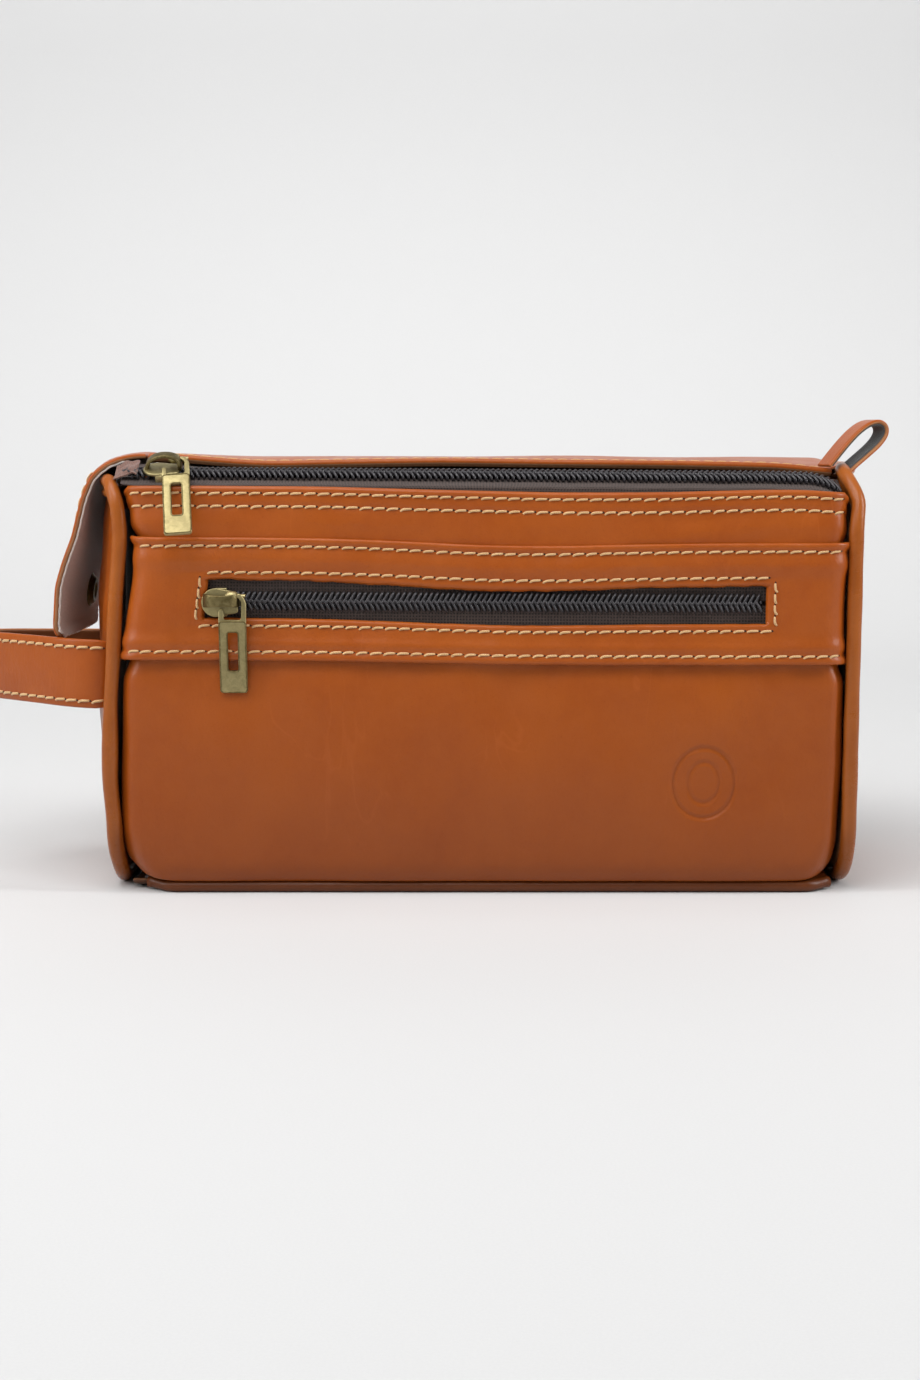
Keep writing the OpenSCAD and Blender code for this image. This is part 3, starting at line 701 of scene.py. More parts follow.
def loop_surface(u, v, out=0.0):
    """The pull loop at share u along it and v, from -1 to 1, across it."""
    u, v = floats(u, v)
    a, b = beside(LOOP_BEND, u * LOOP_RUN, -out, 0.3)
    across = np.array([math.cos(LOOP_LEAN) * math.cos(LOOP_TURN),
                       math.cos(LOOP_LEAN) * math.sin(LOOP_TURN), -math.sin(LOOP_LEAN)])
    along = np.array([math.sin(LOOP_LEAN) * math.cos(LOOP_TURN),
                      math.sin(LOOP_LEAN) * math.sin(LOOP_TURN), math.cos(LOOP_LEAN)])
    wide = np.array([-math.sin(LOOP_TURN), math.cos(LOOP_TURN), 0])
    return (LOOP_ROOT + a[..., None] * across + b[..., None] * along
            + (v * LOOP_HALF - 0.4 * v * v)[..., None] * wide)


# Zips: places from distances along, across and out from the tape

zip_dip = smooth_curve([-121, -105, -50, 0, 50, 100, 109, 114, 120],
                       [0.7, 0.7, 0.4, 0.1, -0.3, -0.6, -0.9, -2.2, -5.4], 2)
POCKET_TILT = -0.0055


def on_main_zip(x, u, n):
    """u is across from the middle of the chain to the back, and n out from the tape."""
    x, u, n = floats(x, u, n)
    y = FRONT_Y + SKIN + (CHAIN_U + u) * math.cos(ZIP_TILT) - n * math.sin(ZIP_TILT)
    z = FRONT_Z + (CHAIN_U + u) * math.sin(ZIP_TILT) + n * math.cos(ZIP_TILT)
    return np.stack([x, y, z + zip_dip(x)], -1)


def on_pocket_zip(x, u, n):
    """u is up from the middle of the chain, and n out from the tape."""
    x, u, n = floats(x, u, n)
    return np.stack([x, FRONT_Y + SKIN / 2 - n, POCKET_ZIP_Z + u + POCKET_TILT * x], -1)


# ---- materials


class Nodes:
    """Short calls that build one material from places in millimetres on its piece."""

    def __init__(self, name):
        self.material = bpy.data.materials.new(name)
        self.material.use_nodes = True
        self.tree = self.material.node_tree
        self.tree.nodes.clear()
        self.shader = self.tree.nodes.new("ShaderNodeBsdfPrincipled")
        output = self.tree.nodes.new("ShaderNodeOutputMaterial")
        self.tree.links.new(self.shader.outputs[0], output.inputs["Surface"])

    def put(self, socket, value):
        """Link a node's output to a socket, or give the socket a value."""
        if isinstance(value, bpy.types.NodeSocket):
            self.tree.links.new(value, socket)
        else:
            socket.default_value = value

    def add(self, kind, inputs=None, **values):
        """A node with its settings, and with links or values put into its inputs."""
        node = self.tree.nodes.new(kind)
        for key, value in values.items():
            setattr(node, key, value)
        for key, value in (inputs or {}).items():
            self.put(node.inputs[key], value)
        return node

    def place(self, name="rest", scale=(1, 1, 1)):
        where = self.add("ShaderNodeAttribute", attribute_name=name).outputs["Vector"]
        return self.add("ShaderNodeMapping", {"Vector": where, "Scale": scale}).outputs[0]

    def noise(self, where, scale, detail=3.0, rough=0.5, warp=0.0):
        inputs = {"Vector": where, "Scale": scale, "Detail": detail, "Roughness": rough,
                  "Distortion": warp}
        return self.add("ShaderNodeTexNoise", inputs).outputs["Fac"]

    def cells(self, where, scale, feature="F1", soft=0.3):
        inputs = {"Vector": where, "Scale": scale}
        if feature == "SMOOTH_F1":
            inputs["Smoothness"] = soft
        return self.add("ShaderNodeTexVoronoi", inputs, feature=feature).outputs["Distance"]

    def waves(self, where, scale, direction="X", warp=0.0):
        inputs = {"Vector": where, "Scale": scale, "Distortion": warp}
        return self.add("ShaderNodeTexWave", inputs, bands_direction=direction).outputs["Fac"]

    def ramp(self, value, low, high, a=0.0, b=1.0):
        inputs = {"Value": value, "From Min": low, "From Max": high, "To Min": a, "To Max": b}
        return self.add("ShaderNodeMapRange", inputs, clamp=True).outputs[0]

    def maths(self, kind, a, b=0.0):
        return self.add("ShaderNodeMath", {0: a, 1: b}, operation=kind).outputs[0]

    def mix(self, share, a, b):
        a, b = ((*c, 1) if isinstance(c, tuple) else c for c in (a, b))
        inputs = {"Factor": share, 6: a, 7: b}
        return self.add("ShaderNodeMix", inputs, data_type="RGBA").outputs[2]

    def bump(self, height, strength, distance, under=None):
        inputs = {"Strength": strength, "Distance": distance * MM, "Height": height}
        if under is not None:
            inputs["Normal"] = under
        return self.add("ShaderNodeBump", inputs).outputs[0]

    def finish(self, colour, roughness, normal=None, **values):
        colour = (*colour, 1) if isinstance(colour, tuple) else colour
        inputs = {"Base Color": colour, "Roughness": roughness}
        if normal is not None:
            inputs["Normal"] = normal
        inputs.update({key.replace("_", " "): value for key, value in values.items()})
        for key, value in inputs.items():
            self.put(self.shader.inputs[key], value)
        return self.material


def leather(name, deep, light, shine, pull=0.22, grain=1.0):
    """Smooth pull-up leather: two tones that cloud into each other, with painted shade that darkens
    it towards the ground, pale creases, dark specks and fine pores."""
    m = Nodes(name)
    where = m.place()
    long = m.place(scale=(1.0, 1.0, 0.35))
    clouds = m.noise(where, 0.022, 3, 0.55, 0.6)
    mottle = m.noise(where, 0.16, 4, 0.6)
    tone = m.mix(m.ramp(clouds, 0.25, 0.8), deep, light)
    tone = m.mix(m.ramp(mottle, 0.35, 0.75, 0.0, 0.6), tone, light)
    crease = m.noise(long, 0.085, 2, 0.4, 0.7)
    crease = m.ramp(m.maths("ABSOLUTE", m.maths("SUBTRACT", crease, 0.5)), 0.0, 0.018, 1.0, 0.0)
    patch = m.ramp(m.noise(where, 0.03, 1), 0.55, 0.7)
    marks = m.maths("MULTIPLY", crease, patch)
    pale = tuple(min(1.0, 1.35 * c + 0.02) for c in light)
    tone = m.mix(m.maths("MULTIPLY", marks, pull), tone, pale)
    # painted shade: the leather is darkened towards the ground, where less light falls on the bag
    height = m.add("ShaderNodeSeparateXYZ", {0: where})
    low = m.ramp(m.maths("ADD", height.outputs["Z"], m.maths("MULTIPLY", clouds, 12)),
                 10, 100, 0.52, 0.0)
    tone = m.mix(low, tone, tuple(0.42 * c for c in deep))
    speck = m.ramp(m.noise(where, 1.9, 2, 0.6), 0.58, 0.75, 0.0, 0.26)
    tone = m.mix(speck, tone, tuple(0.55 * c for c in deep))
    pores = m.cells(where, 1.45, "SMOOTH_F1", 0.5)
    fine = m.noise(where, 3.1, 3, 0.65)
    skin = m.noise(m.place(scale=(1, 1, 0.6)), 0.55, 3, 0.6, 0.4)
    height = m.maths("ADD", m.maths("MULTIPLY", pores, 0.55), m.maths("MULTIPLY", fine, 0.5))
    normal = m.bump(skin, 0.44 * grain, 0.34)
    normal = m.bump(height, 0.30 * grain, 0.06, normal)
    rough = m.ramp(m.maths("ADD", m.noise(where, 0.07, 3), m.maths("MULTIPLY", fine, 0.4)),
                   0.45, 0.95, shine - 0.05, shine + 0.09)
    return m.finish(tone, rough, normal, Specular_IOR_Level=0.28, Coat_Weight=0.06,
                    Coat_Roughness=0.28, Coat_IOR=1.45)


def cloth(name, dark, light, threads, rough=0.85, sheen=0.25):
    """Plain-woven cloth on flat places in millimetres, with threads per millimetre."""
    m = Nodes(name)
    where = m.place("flat")
    across = m.waves(where, threads * 0.32, "X", 0.6)
    along = m.waves(where, threads * 0.32, "Y", 0.6)
    weave = m.maths("MAXIMUM", across, along)
    fleck = m.noise(where, 1.4, 3, 0.7)
    tone = m.mix(m.ramp(weave, 0.1, 0.9), dark, light)
    tone = m.mix(m.ramp(fleck, 0.5, 0.7, 0.0, 0.5), tone, dark)
    normal = m.bump(weave, 0.6, 0.14)
    normal = m.bump(m.noise(m.place(), 0.12, 3), 0.4, 0.8, normal)
    return m.finish(tone, rough, normal, Sheen_Weight=sheen, Sheen_Roughness=0.5)


def thread_material(name, dark, light):
    """Waxed thread with its twist, on places along and round it."""
    m = Nodes(name)
    twist = m.waves(m.place("flat", (0.9, 3.0, 1)), 1.0, "DIAGONAL")
    tone = m.mix(m.ramp(twist, 0.2, 0.8), dark, light)
    tone = m.mix(m.ramp(m.noise(m.place(), 0.35, 2), 0.45, 0.7, 0.0, 0.4), tone, dark)
    return m.finish(tone, 0.55, m.bump(twist, 0.7, 0.1), Sheen_Weight=0.2)


def brass_material(name):
    """Antique brass: stained darker in patches, rubbed pale and warm on its edges where it is
    touched.
    """
    m = Nodes(name)
    where = m.place("rest")
    stain = m.noise(where, 0.55, 4, 0.65, 0.8)
    fleck = m.noise(where, 3.2, 3, 0.7)
    edge = m.add("ShaderNodeNewGeometry").outputs["Pointiness"]
    worn = m.ramp(edge, 0.49, 0.56)
    tone = m.mix(m.ramp(stain, 0.35, 0.65), (0.130, 0.101, 0.041), (0.235, 0.188, 0.086))
    tone = m.mix(m.ramp(fleck, 0.6, 0.72, 0.0, 0.55), tone, (0.09, 0.068, 0.026))
    tone = m.mix(m.maths("MULTIPLY", worn, 0.7), tone, (0.62, 0.53, 0.27))
    rough = m.ramp(stain, 0.3, 0.7, 0.52, 0.42)
    scratch = m.noise(m.place("rest", (1, 1, 9)), 0.8, 3, 0.6)
    normal = m.bump(scratch, 0.12, 0.12)
    normal = m.bump(stain, 0.25, 0.12, normal)
    return m.finish(tone, rough, normal, Metallic=1.0)


def nylon_material(name):
    """Dark moulded coil nylon with a dull bloom."""
    m = Nodes(name)
    bloom = m.noise(m.place(), 0.9, 3, 0.6)
    tone = m.mix(m.ramp(bloom, 0.4, 0.7), (0.022, 0.020, 0.023), (0.050, 0.044, 0.050))
    return m.finish(tone, m.ramp(bloom, 0.3, 0.7, 0.24, 0.42), m.bump(bloom, 0.2, 0.08),
                    Specular_IOR_Level=0.6)


def twisted_material(name, dark, light):
    """Matt twisted cotton, on places along and round it."""
    m = Nodes(name)
    twist = m.waves(m.place("flat", (0.55, 2.0, 1)), 1.0, "DIAGONAL")
    tone = m.mix(twist, dark, light)
    return m.finish(tone, 0.8, m.bump(twist, 0.8, 0.3), Sheen_Weight=0.3)


def board_material(name):
    """Grey-brown fibre board with pressed flecks."""
    m = Nodes(name)
    chips = m.cells(m.place(), 0.5)
    fleck = m.noise(m.place(scale=(0.4, 1, 1)), 1.2, 4, 0.7)
    tone = m.mix(m.ramp(fleck, 0.35, 0.7), (0.16, 0.12, 0.085), (0.30, 0.245, 0.18))
    tone = m.mix(m.ramp(chips, 0.0, 0.5, 0.35, 0.0), tone, (0.09, 0.065, 0.05))
    return m.finish(tone, 0.85, m.bump(fleck, 0.4, 0.2))


def floor_material(name):
    """Matt pale paper sweep."""
    m = Nodes(name)
    tooth = m.noise(m.place(), 1.5, 3, 0.6)
    tone = m.mix(m.ramp(tooth, 0.3, 0.7), (0.645, 0.645, 0.645), (0.665, 0.665, 0.665))
    return m.finish(tone, 0.9, m.bump(tooth, 0.08, 0.1), Specular_IOR_Level=0.2)


TAN = leather("tan_leather", (0.330, 0.064, 0.0045), (0.400, 0.090, 0.0085), 0.34, 0.17)
PIPING = leather("piping_leather", (0.310, 0.075, 0.009), (0.410, 0.115, 0.018), 0.28, grain=0.8)
# painted shade: a darker copy of the piping leather for the bottom piping, in the shadow under the
# bag
SHADED_LOW_PIPING = leather("low_piping_leather_painted_shade", (0.150, 0.035, 0.006), (0.210, 0.055, 0.010), 0.34)
BACKING = leather("leather_flesh_side", (0.30, 0.13, 0.055), (0.42, 0.21, 0.10), 0.75, 0.0, 1.6)
CUT = leather("leather_cut_edge", (0.36, 0.13, 0.045), (0.50, 0.22, 0.09), 0.6, 0.0, 1.4)
DARK = leather("dark_leather", (0.115, 0.040, 0.014), (0.175, 0.065, 0.024), 0.46)
THREAD = thread_material("stitch_thread", (0.56, 0.31, 0.115), (0.82, 0.56, 0.28))
# painted shade: near-black for the discs that stand in for the shade inside each needle hole
NEEDLE_HOLE_SHADE = Nodes("needle_hole_painted_shade").finish((0.022, 0.009, 0.004), 0.9)
LINING = cloth("lining_cloth", (0.060, 0.040, 0.034), (0.115, 0.084, 0.074), 2.2)
FLAP_LINING = cloth("flap_lining_cloth", (0.42, 0.36, 0.32), (0.64, 0.57, 0.52), 2.0)
PALE_EDGE = cloth("cut_cloth_edge", (0.55, 0.47, 0.42), (0.80, 0.74, 0.69), 3.0)
TAPE = cloth("zip_tape", (0.010, 0.007, 0.006), (0.085, 0.058, 0.050), 0.95, 0.8, 0.08)
FRAYED = cloth("frayed_tape_end", (0.085, 0.04, 0.03), (0.24, 0.13, 0.10), 1.6)
COIL = nylon_material("zip_coil")
BRASS = brass_material("antique_brass")
CORD = twisted_material("piping_cord", (0.38, 0.32, 0.24), (0.66, 0.60, 0.50))
BOARD = board_material("fibre_board")
LOOP_LINING = cloth("loop_lining", (0.020, 0.021, 0.022), (0.075, 0.078, 0.080), 1.6, 0.6)
PAPER = floor_material("paper_sweep")


def tan_piece(name, part, body, node, under=BACKING):
    """A piece of tan leather in place of a node, with its flesh side or a cut edge under it."""
    return mesh_object(name, [part], [TAN, under], body, [node])


def lining_piece(name, part, body, node):
    """A piece of the dark lining in place of a node."""
    return mesh_object(name, [part], [LINING], body, [node])


def brass_piece(node, parts, body):
    """A brass piece in place of a node."""
    return mesh_object(f"{node}_brass", parts, [BRASS], body, [node])


# ---- stitches

HALF = 124.0  # half the length of a wall's leather, as its grid measures it


def row_on(surface, us, vs):
    """Points and outward normals along a line drawn on a surface function."""
    us, vs = floats(us, vs)
    p = surface(us, vs)
    small = 1e-3 * max(np.ptp(us), np.ptp(vs), 1.0)
    du, dv = surface(us + small, vs) - p, surface(us, vs + small) - p
    normal = np.cross(du, dv)
    normal /= np.linalg.norm(normal, axis=1, keepdims=True)
    return p, normal


# One stitch: shares of its length, and at each its height, its slip to the side and its thickness
STITCH_SHARE = np.array([0.0, 0.05, 0.16, 0.34, 0.6, 0.82, 0.95, 1.0])
STITCH_HEIGHT = np.array([-0.45, 0.04, 0.22, 0.30, 0.30, 0.25, 0.02, -0.45])
STITCH_SLIP = np.array([1.0, 0.92, 0.45, 0.10, 0.0, -0.04, -0.06, -0.06])
STITCH_THICK = np.array([0.75, 0.9, 1.0, 1.05, 1.05, 1.0, 0.9, 0.75])


def stitch_parts(row, pitch, hook, seed, size):
    """Threads, and flat dark discs of painted shade for the needle holes, along a row of points and
    normals: each stitch rises out of one hole, lies along the leather and turns down into the next."""
    points, normals = row
    run = run_along(points)
    count = int(run[-1] / pitch)
    if count < 1:
        return []
    rng = np.random.default_rng(seed + 100)
    start = (run[-1] - count * pitch) / 2

    def at(t, grid):
        return np.stack([np.interp(t, run, grid[:, k]) for k in range(3)], -1)

    parts = []
    ring = ring_section(size, 6, 0.8)
    angles = np.arange(8) * math.pi / 4
    for k in range(count):
        a = start + (k + 0.08) * pitch + rng.uniform(-0.12, 0.12)
        length = pitch * rng.uniform(0.80, 0.88)
        t = a + STITCH_SHARE * length
        base, up = at(t, points), at(t, normals)
        along = at(np.array([a + length]), points)[0] - at(np.array([a]), points)[0]
        along /= np.linalg.norm(along)
        side = np.cross(up, along)
        side /= np.linalg.norm(side, axis=1, keepdims=True)
        drop = hook * rng.uniform(0.45, 0.85)
        lean = rng.uniform(-0.10, 0.10) * (1 - STITCH_SHARE)
        path = base + up * (STITCH_HEIGHT * rng.uniform(0.85, 1.1))[:, None]
        path = path - side * (STITCH_SLIP * drop + lean)[:, None]
        parts.append(sweep_part(path, up, ring, STITCH_THICK))
        # painted shade: a flat dark disc on the leather where the thread goes into its hole
        spot = at(np.array([a + length + 0.07 * pitch]), points)[0]
        lift = at(np.array([a + length]), normals)[0]
        side = np.cross(lift, along)
        rim = (spot + 0.05 * lift + 0.42 * np.cos(angles)[:, None] * along
               + 0.36 * np.sin(angles)[:, None] * side)
        parts.append((rim, [tuple(range(8))], 1, None))
    return parts


def stitches(name, rows, body, pitch=4.45, hook=1.0, seed=0, size=0.38):
    """One object of all the stitches along some rows."""
    parts = []
    for k, row in enumerate(rows):
        parts += stitch_parts(row, pitch, hook, seed + 7 * k, size)
    return mesh_object(name, parts, [THREAD, NEEDLE_HOLE_SHADE], body)


def surface_sheet(surface, us, vs, thick, scale_u=1.0, scale_v=1.0, **extra):
    """A sheet under a surface. us and vs are in millimetres, and scale_u and scale_v are how
    many of them make one of the surface's own u and v."""
    u, v = grid_of(us, vs)
    return sheet_part(surface(u / scale_u, v / scale_v), us, vs, thick, **extra)


def tan_sheet(name, node, surface, us, vs, *scales, body="bag", thick=SKIN, under=BACKING,
              **extra):
    """A sheet of tan leather under a surface, in place of a node."""
    part = surface_sheet(surface, us, vs, thick, *scales, numbers=(0, 1), **extra)
    return tan_piece(name, part, body, node, under)


# ---- front

fine_x = lines(-HALF, HALF, gap=2.2, edge=2.4)
LOWER_V = 79.0  # height of the lower panel's leather
stamp_x = refined(fine_x, STAMP[0] - 11, STAMP[0] + 19, 0.55)
stamp_z = refined(lines(0, LOWER_V, gap=2.0, edge=2.0), STAMP[1] - 21, STAMP[1] + 11, 0.55)
tan_sheet("lower_panel_leather", "front_lower_panel", lower_wall, stamp_x, stamp_z, HALF, LOWER_V)


def window_rag(x, z):
    """Where the knife wandered as it cut the window."""
    near = np.exp(-((np.abs(z - ZIP_Z) - WINDOW_HALF) ** 2) / 1.5) * (np.abs(x) < WINDOW_X + 1)
    wander = 0.14 * ripples(x, 0 * z, 5, 61) + 0.2 * ripples(x, 0 * z, 60, 62)
    dip = -0.8 * hump(x - 10, 45) * (z > ZIP_Z)
    return near * (wander * (1 + 0.6 * np.sign(z - ZIP_Z)) + dip)


def pocket_face(s, z):
    """The pocket panel's face, with its sag and its ragged window."""
    p = pocket_wall(s, z)
    p[..., 2] += window_rag(p[..., 0], z)
    return p


window_u = float(share_at(WINDOW_X, ZIP_Z)) * HALF
side_u = float(share_at(WINDOW_SIDE, ZIP_Z)) * HALF
pocket_u = lines(-HALF, -side_u, -window_u, window_u, side_u, HALF, gap=1.6, edge=2.4)
pocket_v = lines(POCKET_LOW, POCKET_ROWS[1], WINDOW_ROWS[1], WINDOW_LOW, WINDOW_TOP,
                 WINDOW_ROWS[0], POCKET_ROWS[0], POCKET_TOP, gap=0.7, edge=1.2)
tan_sheet("pocket_panel_leather", "front_pocket_panel", pocket_face, pocket_u, pocket_v, HALF,
          thick=1.55, edge_r=0.7, hole=(-window_u, window_u, WINDOW_LOW, WINDOW_TOP))


def band_face(s, h):
    """The top band, with h the distance up from its edge."""
    return top_band(s, -h)


tan_sheet("top_band_leather", "front_top_band", band_face, fine_x,
          lines(-23, 0, gap=0.65, edge=1.2), HALF, edge_r=0.8)
run_s = np.linspace(-0.972, 0.972, 600)
stitches("top_band_stitches", [row_on(band_face, run_s, -row) for row in BAND_ROWS], "bag", seed=1)
stitches("pocket_stitches", [row_on(pocket_face, run_s, row) for row in POCKET_ROWS], "bag", seed=2)
window_s = np.linspace(-side_u, side_u, 500) / HALF
stitches("window_stitches", [row_on(pocket_face, window_s, row) for row in WINDOW_ROWS], "bag",
         pitch=4.4, seed=3)
column = np.linspace(WINDOW_ROWS[1] + 0.6, WINDOW_ROWS[0] - 0.6, 40)
stitches("window_end_stitches",
         [row_on(pocket_face, side * side_u / HALF, column) for side in (-1, 1)], "bag",
         pitch=3.6, seed=4)

# ---- back, bottom and ends

tan_sheet("back_leather", "back_panel", back_wall, fine_x, lines(5, 132, gap=3.0, edge=2.0), HALF)


def seam_low(x):
    """Y (positive) and Z of the lower edge of the front and back walls at x."""
    pull = step((np.abs(x - 2.5) - 106) / 9)
    return SEAM_Y - 1.2 - 5.0 * pull, PIPE_R - 0.3 + 0.5 * pull


def bottom_sheet(x, t):
    """The bottom at x and share t, from the back seam (-1) to the front one (1)."""
    y, z = seam_low(x)
    low = 0.1 + 0.35 * (1 + ripples(x, t * 50, 60, 71)) * (1 - t ** 4)
    rise = z * np.clip(np.abs(t), 0, 1) ** 14 * 0.9
    return np.stack([x + 0 * t, -t * y, low + rise], -1)


BOTTOM_HALF = 50  # half the depth of the bottom's leather, as its grid measures it
bottom_x = lines(-118, 118, gap=4.0, edge=2.0)
bottom_y = lines(-BOTTOM_HALF, BOTTOM_HALF, gap=2.5, edge=2.0)
mesh_object("bottom_leather", [surface_sheet(
    bottom_sheet, bottom_x, bottom_y, SKIN, 1.0, BOTTOM_HALF, numbers=(0, 1))],
    [DARK, BACKING], "bag", ["bottom_panel"])


def dome_part(side):
    """An end panel: a soft dome filled in from its ring seam, with an inner skin behind it."""
    thick, rings = 1.5, 22
    points, _ = ring_points(side, 3.0)
    face = left_face if side < 0 else right_face
    middle = np.array([0.0, 72.0])
    yz = points[:, 1:] - middle
    shares = 1 - np.linspace(0, 1, rings) ** 1.25
    skins = []
    for depth in (0.0, thick):
        skin = []
        for k, share in enumerate(shares[:-1]):
            place = middle + yz * share * (1 - 1 / 60)
            x = face(place[:, 0], place[:, 1])
            soft = (0.55 * ripples(place[:, 0], place[:, 1], 38, 81 + side)
                    + 0.18 * ripples(place[:, 0], place[:, 1], 14, 83 + side)) * (1 - share ** 6)
            tuck = 0.9 * share ** 6
            x = x + side * (soft - tuck - (depth if k else 0.0))
            skin.append(np.stack([x, place[:, 0], place[:, 1]], 1))
        top = np.array([[skin[-1][:, 0].mean(), *middle]])
        skins.append((np.array(skin), top))
    n, m = len(points), rings - 1
    verts = np.concatenate([skins[0][0].reshape(-1, 3), skins[0][1],
                            skins[1][0].reshape(-1, 3), skins[1][1]])
    base = n * m + 1  # number of the inner skin's first point
    faces = []
    for k in range(m):
        near, far = k * n, (k + 1) * n
        inner = base if k else 0  # the two skins share their outermost ring
        for i in range(n):
            j = (i + 1) % n
            if k < m - 1:
                pair = ((near + i, far + i, far + j, near + j),
                        (inner + near + i, inner + near + j, base + far + j, base + far + i))
            else:
                pair = ((near + i, far, near + j), (base + near + j, base + far, base + near + i))
            faces += [face[::-side] for face in pair]
    used = sorted({i for face in faces for i in face})
    renumbered = {i: k for k, i in enumerate(used)}
    faces = [tuple(renumbered[i] for i in face) for face in faces]
    return verts[used], faces, [0, 1] * (len(faces) // 2), verts[used][:, 1:]


for side, word in ((-1, "left"), (1, "right")):
    tan_piece(f"{word}_end_leather", dome_part(side), "bag", f"{word}_end_panel")

# ---- piping


def piping_section(r):
    """A round bead whose leather runs on inward as the two lips caught in the seam."""
    a = np.radians(np.linspace(-62, 242, 18))
    bead = np.stack([r * np.cos(a), r * np.sin(a)], 1)
    return np.concatenate([bead, [(-0.75, -1.55 * r), (-0.6, -2.1 * r), (0.6, -2.1 * r),
                                  (0.75, -1.55 * r)]])


def cord_piece(name, path, up, r):
    """Twisted cotton cord: three strands round the path."""
    twist = run_along(path) / 9.0 * 2 * math.pi
    _, side, lift = frames_along(path, up)
    parts = []
    for k in range(3):
        turn = (twist + k * 2 * math.pi / 3)[:, None]
        strand = path + 0.5 * r * (np.cos(turn) * side + np.sin(turn) * lift)
        parts.append(sweep_part(strand, up, ring_section(0.52 * r, 6)))
    mesh_object(f"{name}_cotton", parts, [CORD], "bag", [f"{name}_cord"])


for side, word in ((-1, "left"), (1, "right")):
    path, out = ring_points(side, 1.6)
    fat = PIPE_R + 0.05 + 0.22 * step((66 - path[:, 2]) / 20) * (path[:, 1] < 0)
    fat = fat + 0.10 * ripples(path[:, 1], path[:, 2], 24, 91 + side)
    mesh_object(f"{word}_piping_leather",
                [sweep_part(path, out, piping_section(1.0), fat, closed=True)],
                [PIPING], "bag", [f"{word}_piping_cover"])
    loop, ups = np.concatenate([path, path[:1]]), np.concatenate([out, out[:1]])
    cord_piece(f"{word}_piping", loop, ups, 1.15)

for side, word in ((-1, "front"), (1, "back")):
    xs = np.linspace(-112.5, 117.0, 140)
    y, z = seam_low(xs)
    path = np.stack([xs, side * (y + 0.1), z + 0 * xs], 1)
    up = np.array([0, side * 0.8, -0.6])
    mesh_object(f"{word}_bottom_piping_leather", [sweep_part(path, up, piping_section(1.9))],
                [SHADED_LOW_PIPING], "bag", [f"{word}_bottom_piping_cover"])
    cord_piece(f"{word}_bottom_piping", path, up, 1.1)

# ---- lid and flap


def lid_face(s, v):
    """The lid's leather with its front hem and two stitched rows."""
    p = lid_surface(s, v)
    hem = 0.35 * hump(v - 1.4, 1.4)
    p[..., 2] += (hem + row_grooves(v, BAND_ROWS)) * (v < 20)
    return p


LID_HALF = 118  # half the length of the lid's leather, as its grid measures it
lid_u = lines(-LID_HALF, LID_HALF, gap=2.6, edge=2.0)
lid_v = np.unique(np.concatenate([lines(0, 10, LID_RUN, gap=1.6, edge=1.6),
                                  np.linspace(0, 9, 14)]))
u, v = grid_of(lid_u, lid_v)
thick = SKIN + 0.9 * step((12 - v) / 2)
lid_leather = tan_piece("lid_leather", sheet_part(
    lid_face(u / LID_HALF, v), lid_u, lid_v, thick, edge_r=1.2, numbers=(0, 1)), None, "lid_panel")
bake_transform(lid_leather)

lid_rows = [row_on(lid_face, np.linspace(-0.97, 0.97, 500), row) for row in BAND_ROWS]
stitches("lid_edge_stitches", lid_rows, "lid", seed=11)
back_rows = [row_on(lid_surface, np.linspace(-0.96, 0.96, 500), LID_RUN - row)
             for row in BAND_ROWS]
stitches("lid_seam_stitches", back_rows, "bag", seed=12, hook=-1.0)

flap_u, flap_v = lines(0, FLAP_U, gap=1.4, edge=1.6), lines(0, FLAP_V, gap=1.9, edge=1.6)
flap_leather = tan_sheet("flap_leather", "end_flap", flap_surface, flap_u, flap_v, FLAP_U, FLAP_V,
                         body=None, edge_r=0.8)
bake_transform(flap_leather)


def flap_lining_face(u, v):
    """Outer side of the flap's lining, against the leather, with a scalloped cut edge."""
    near = hump(np.minimum(1 - u, np.minimum(v, 1 - v)), 0.012)
    scallop = 0.55 * np.sin((u * FLAP_U + v * FLAP_V) * 2 * math.pi / 4.2) * near
    p = flap_surface(u, v, -SKIN - 0.05, 0.5)
    return p + scallop[..., None] * np.array([0.3, 0, 0.5])


u, v = grid_of(flap_u, flap_v)
verts, faces, _, flat = sheet_part(flap_lining_face(0.10 + 0.90 * u / FLAP_U, v / FLAP_V),
                                   flap_u, flap_v, 0.7, edge_r=0.35)
rim = np.abs(flat[:, 1] - FLAP_V / 2) > FLAP_V / 2 - 0.9
rim |= flat[:, 0] > FLAP_U - 0.8
numbers = np.where([all(rim[i] for i in f) for f in faces], 1, 0)
flap_lining = mesh_object("flap_lining_sheet", [(verts, faces, numbers, flat)],
                          [FLAP_LINING, PALE_EDGE], None, ["end_flap_lining"])
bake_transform(flap_lining)


def flap_row(inset):
    """A stitch line round the flap's free edges, inset from them."""
    run_u = np.linspace(0.22, 1 - inset / FLAP_U - 0.01, 120)
    run_v = np.linspace(inset / FLAP_V, 1 - inset / FLAP_V, 120)
    u = np.concatenate([run_u, np.full(120, run_u[-1]), run_u[::-1]])
    v = np.concatenate([np.full(120, run_v[0]), run_v, np.full(120, run_v[-1])])
    return row_on(flap_surface, u, v)


flap_stitches = stitches("flap_stitches", [flap_row(3.6)], None, seed=21)
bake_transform(flap_stitches)

# ---- linings

LINING_HALF = 121  # half the length of the walls inside
LINING_T = 0.5


def lining_lines(low, high):
    """Grid places of a lining, from one edge to the other."""
    return lines(low, high, gap=4.0, edge=1.0)


def front_lining_face(u, z):
    """The lining behind the front, held off the pocket's pouch."""
    p = on_wall(u / LINING_HALF, z, -3.4)
    p[..., 1] = np.maximum(p[..., 1], FRONT_Y + 7.5)
    return p + 0.4 * ripples(u, z, 40, 101)[..., None] * np.array([0, 1, 0])


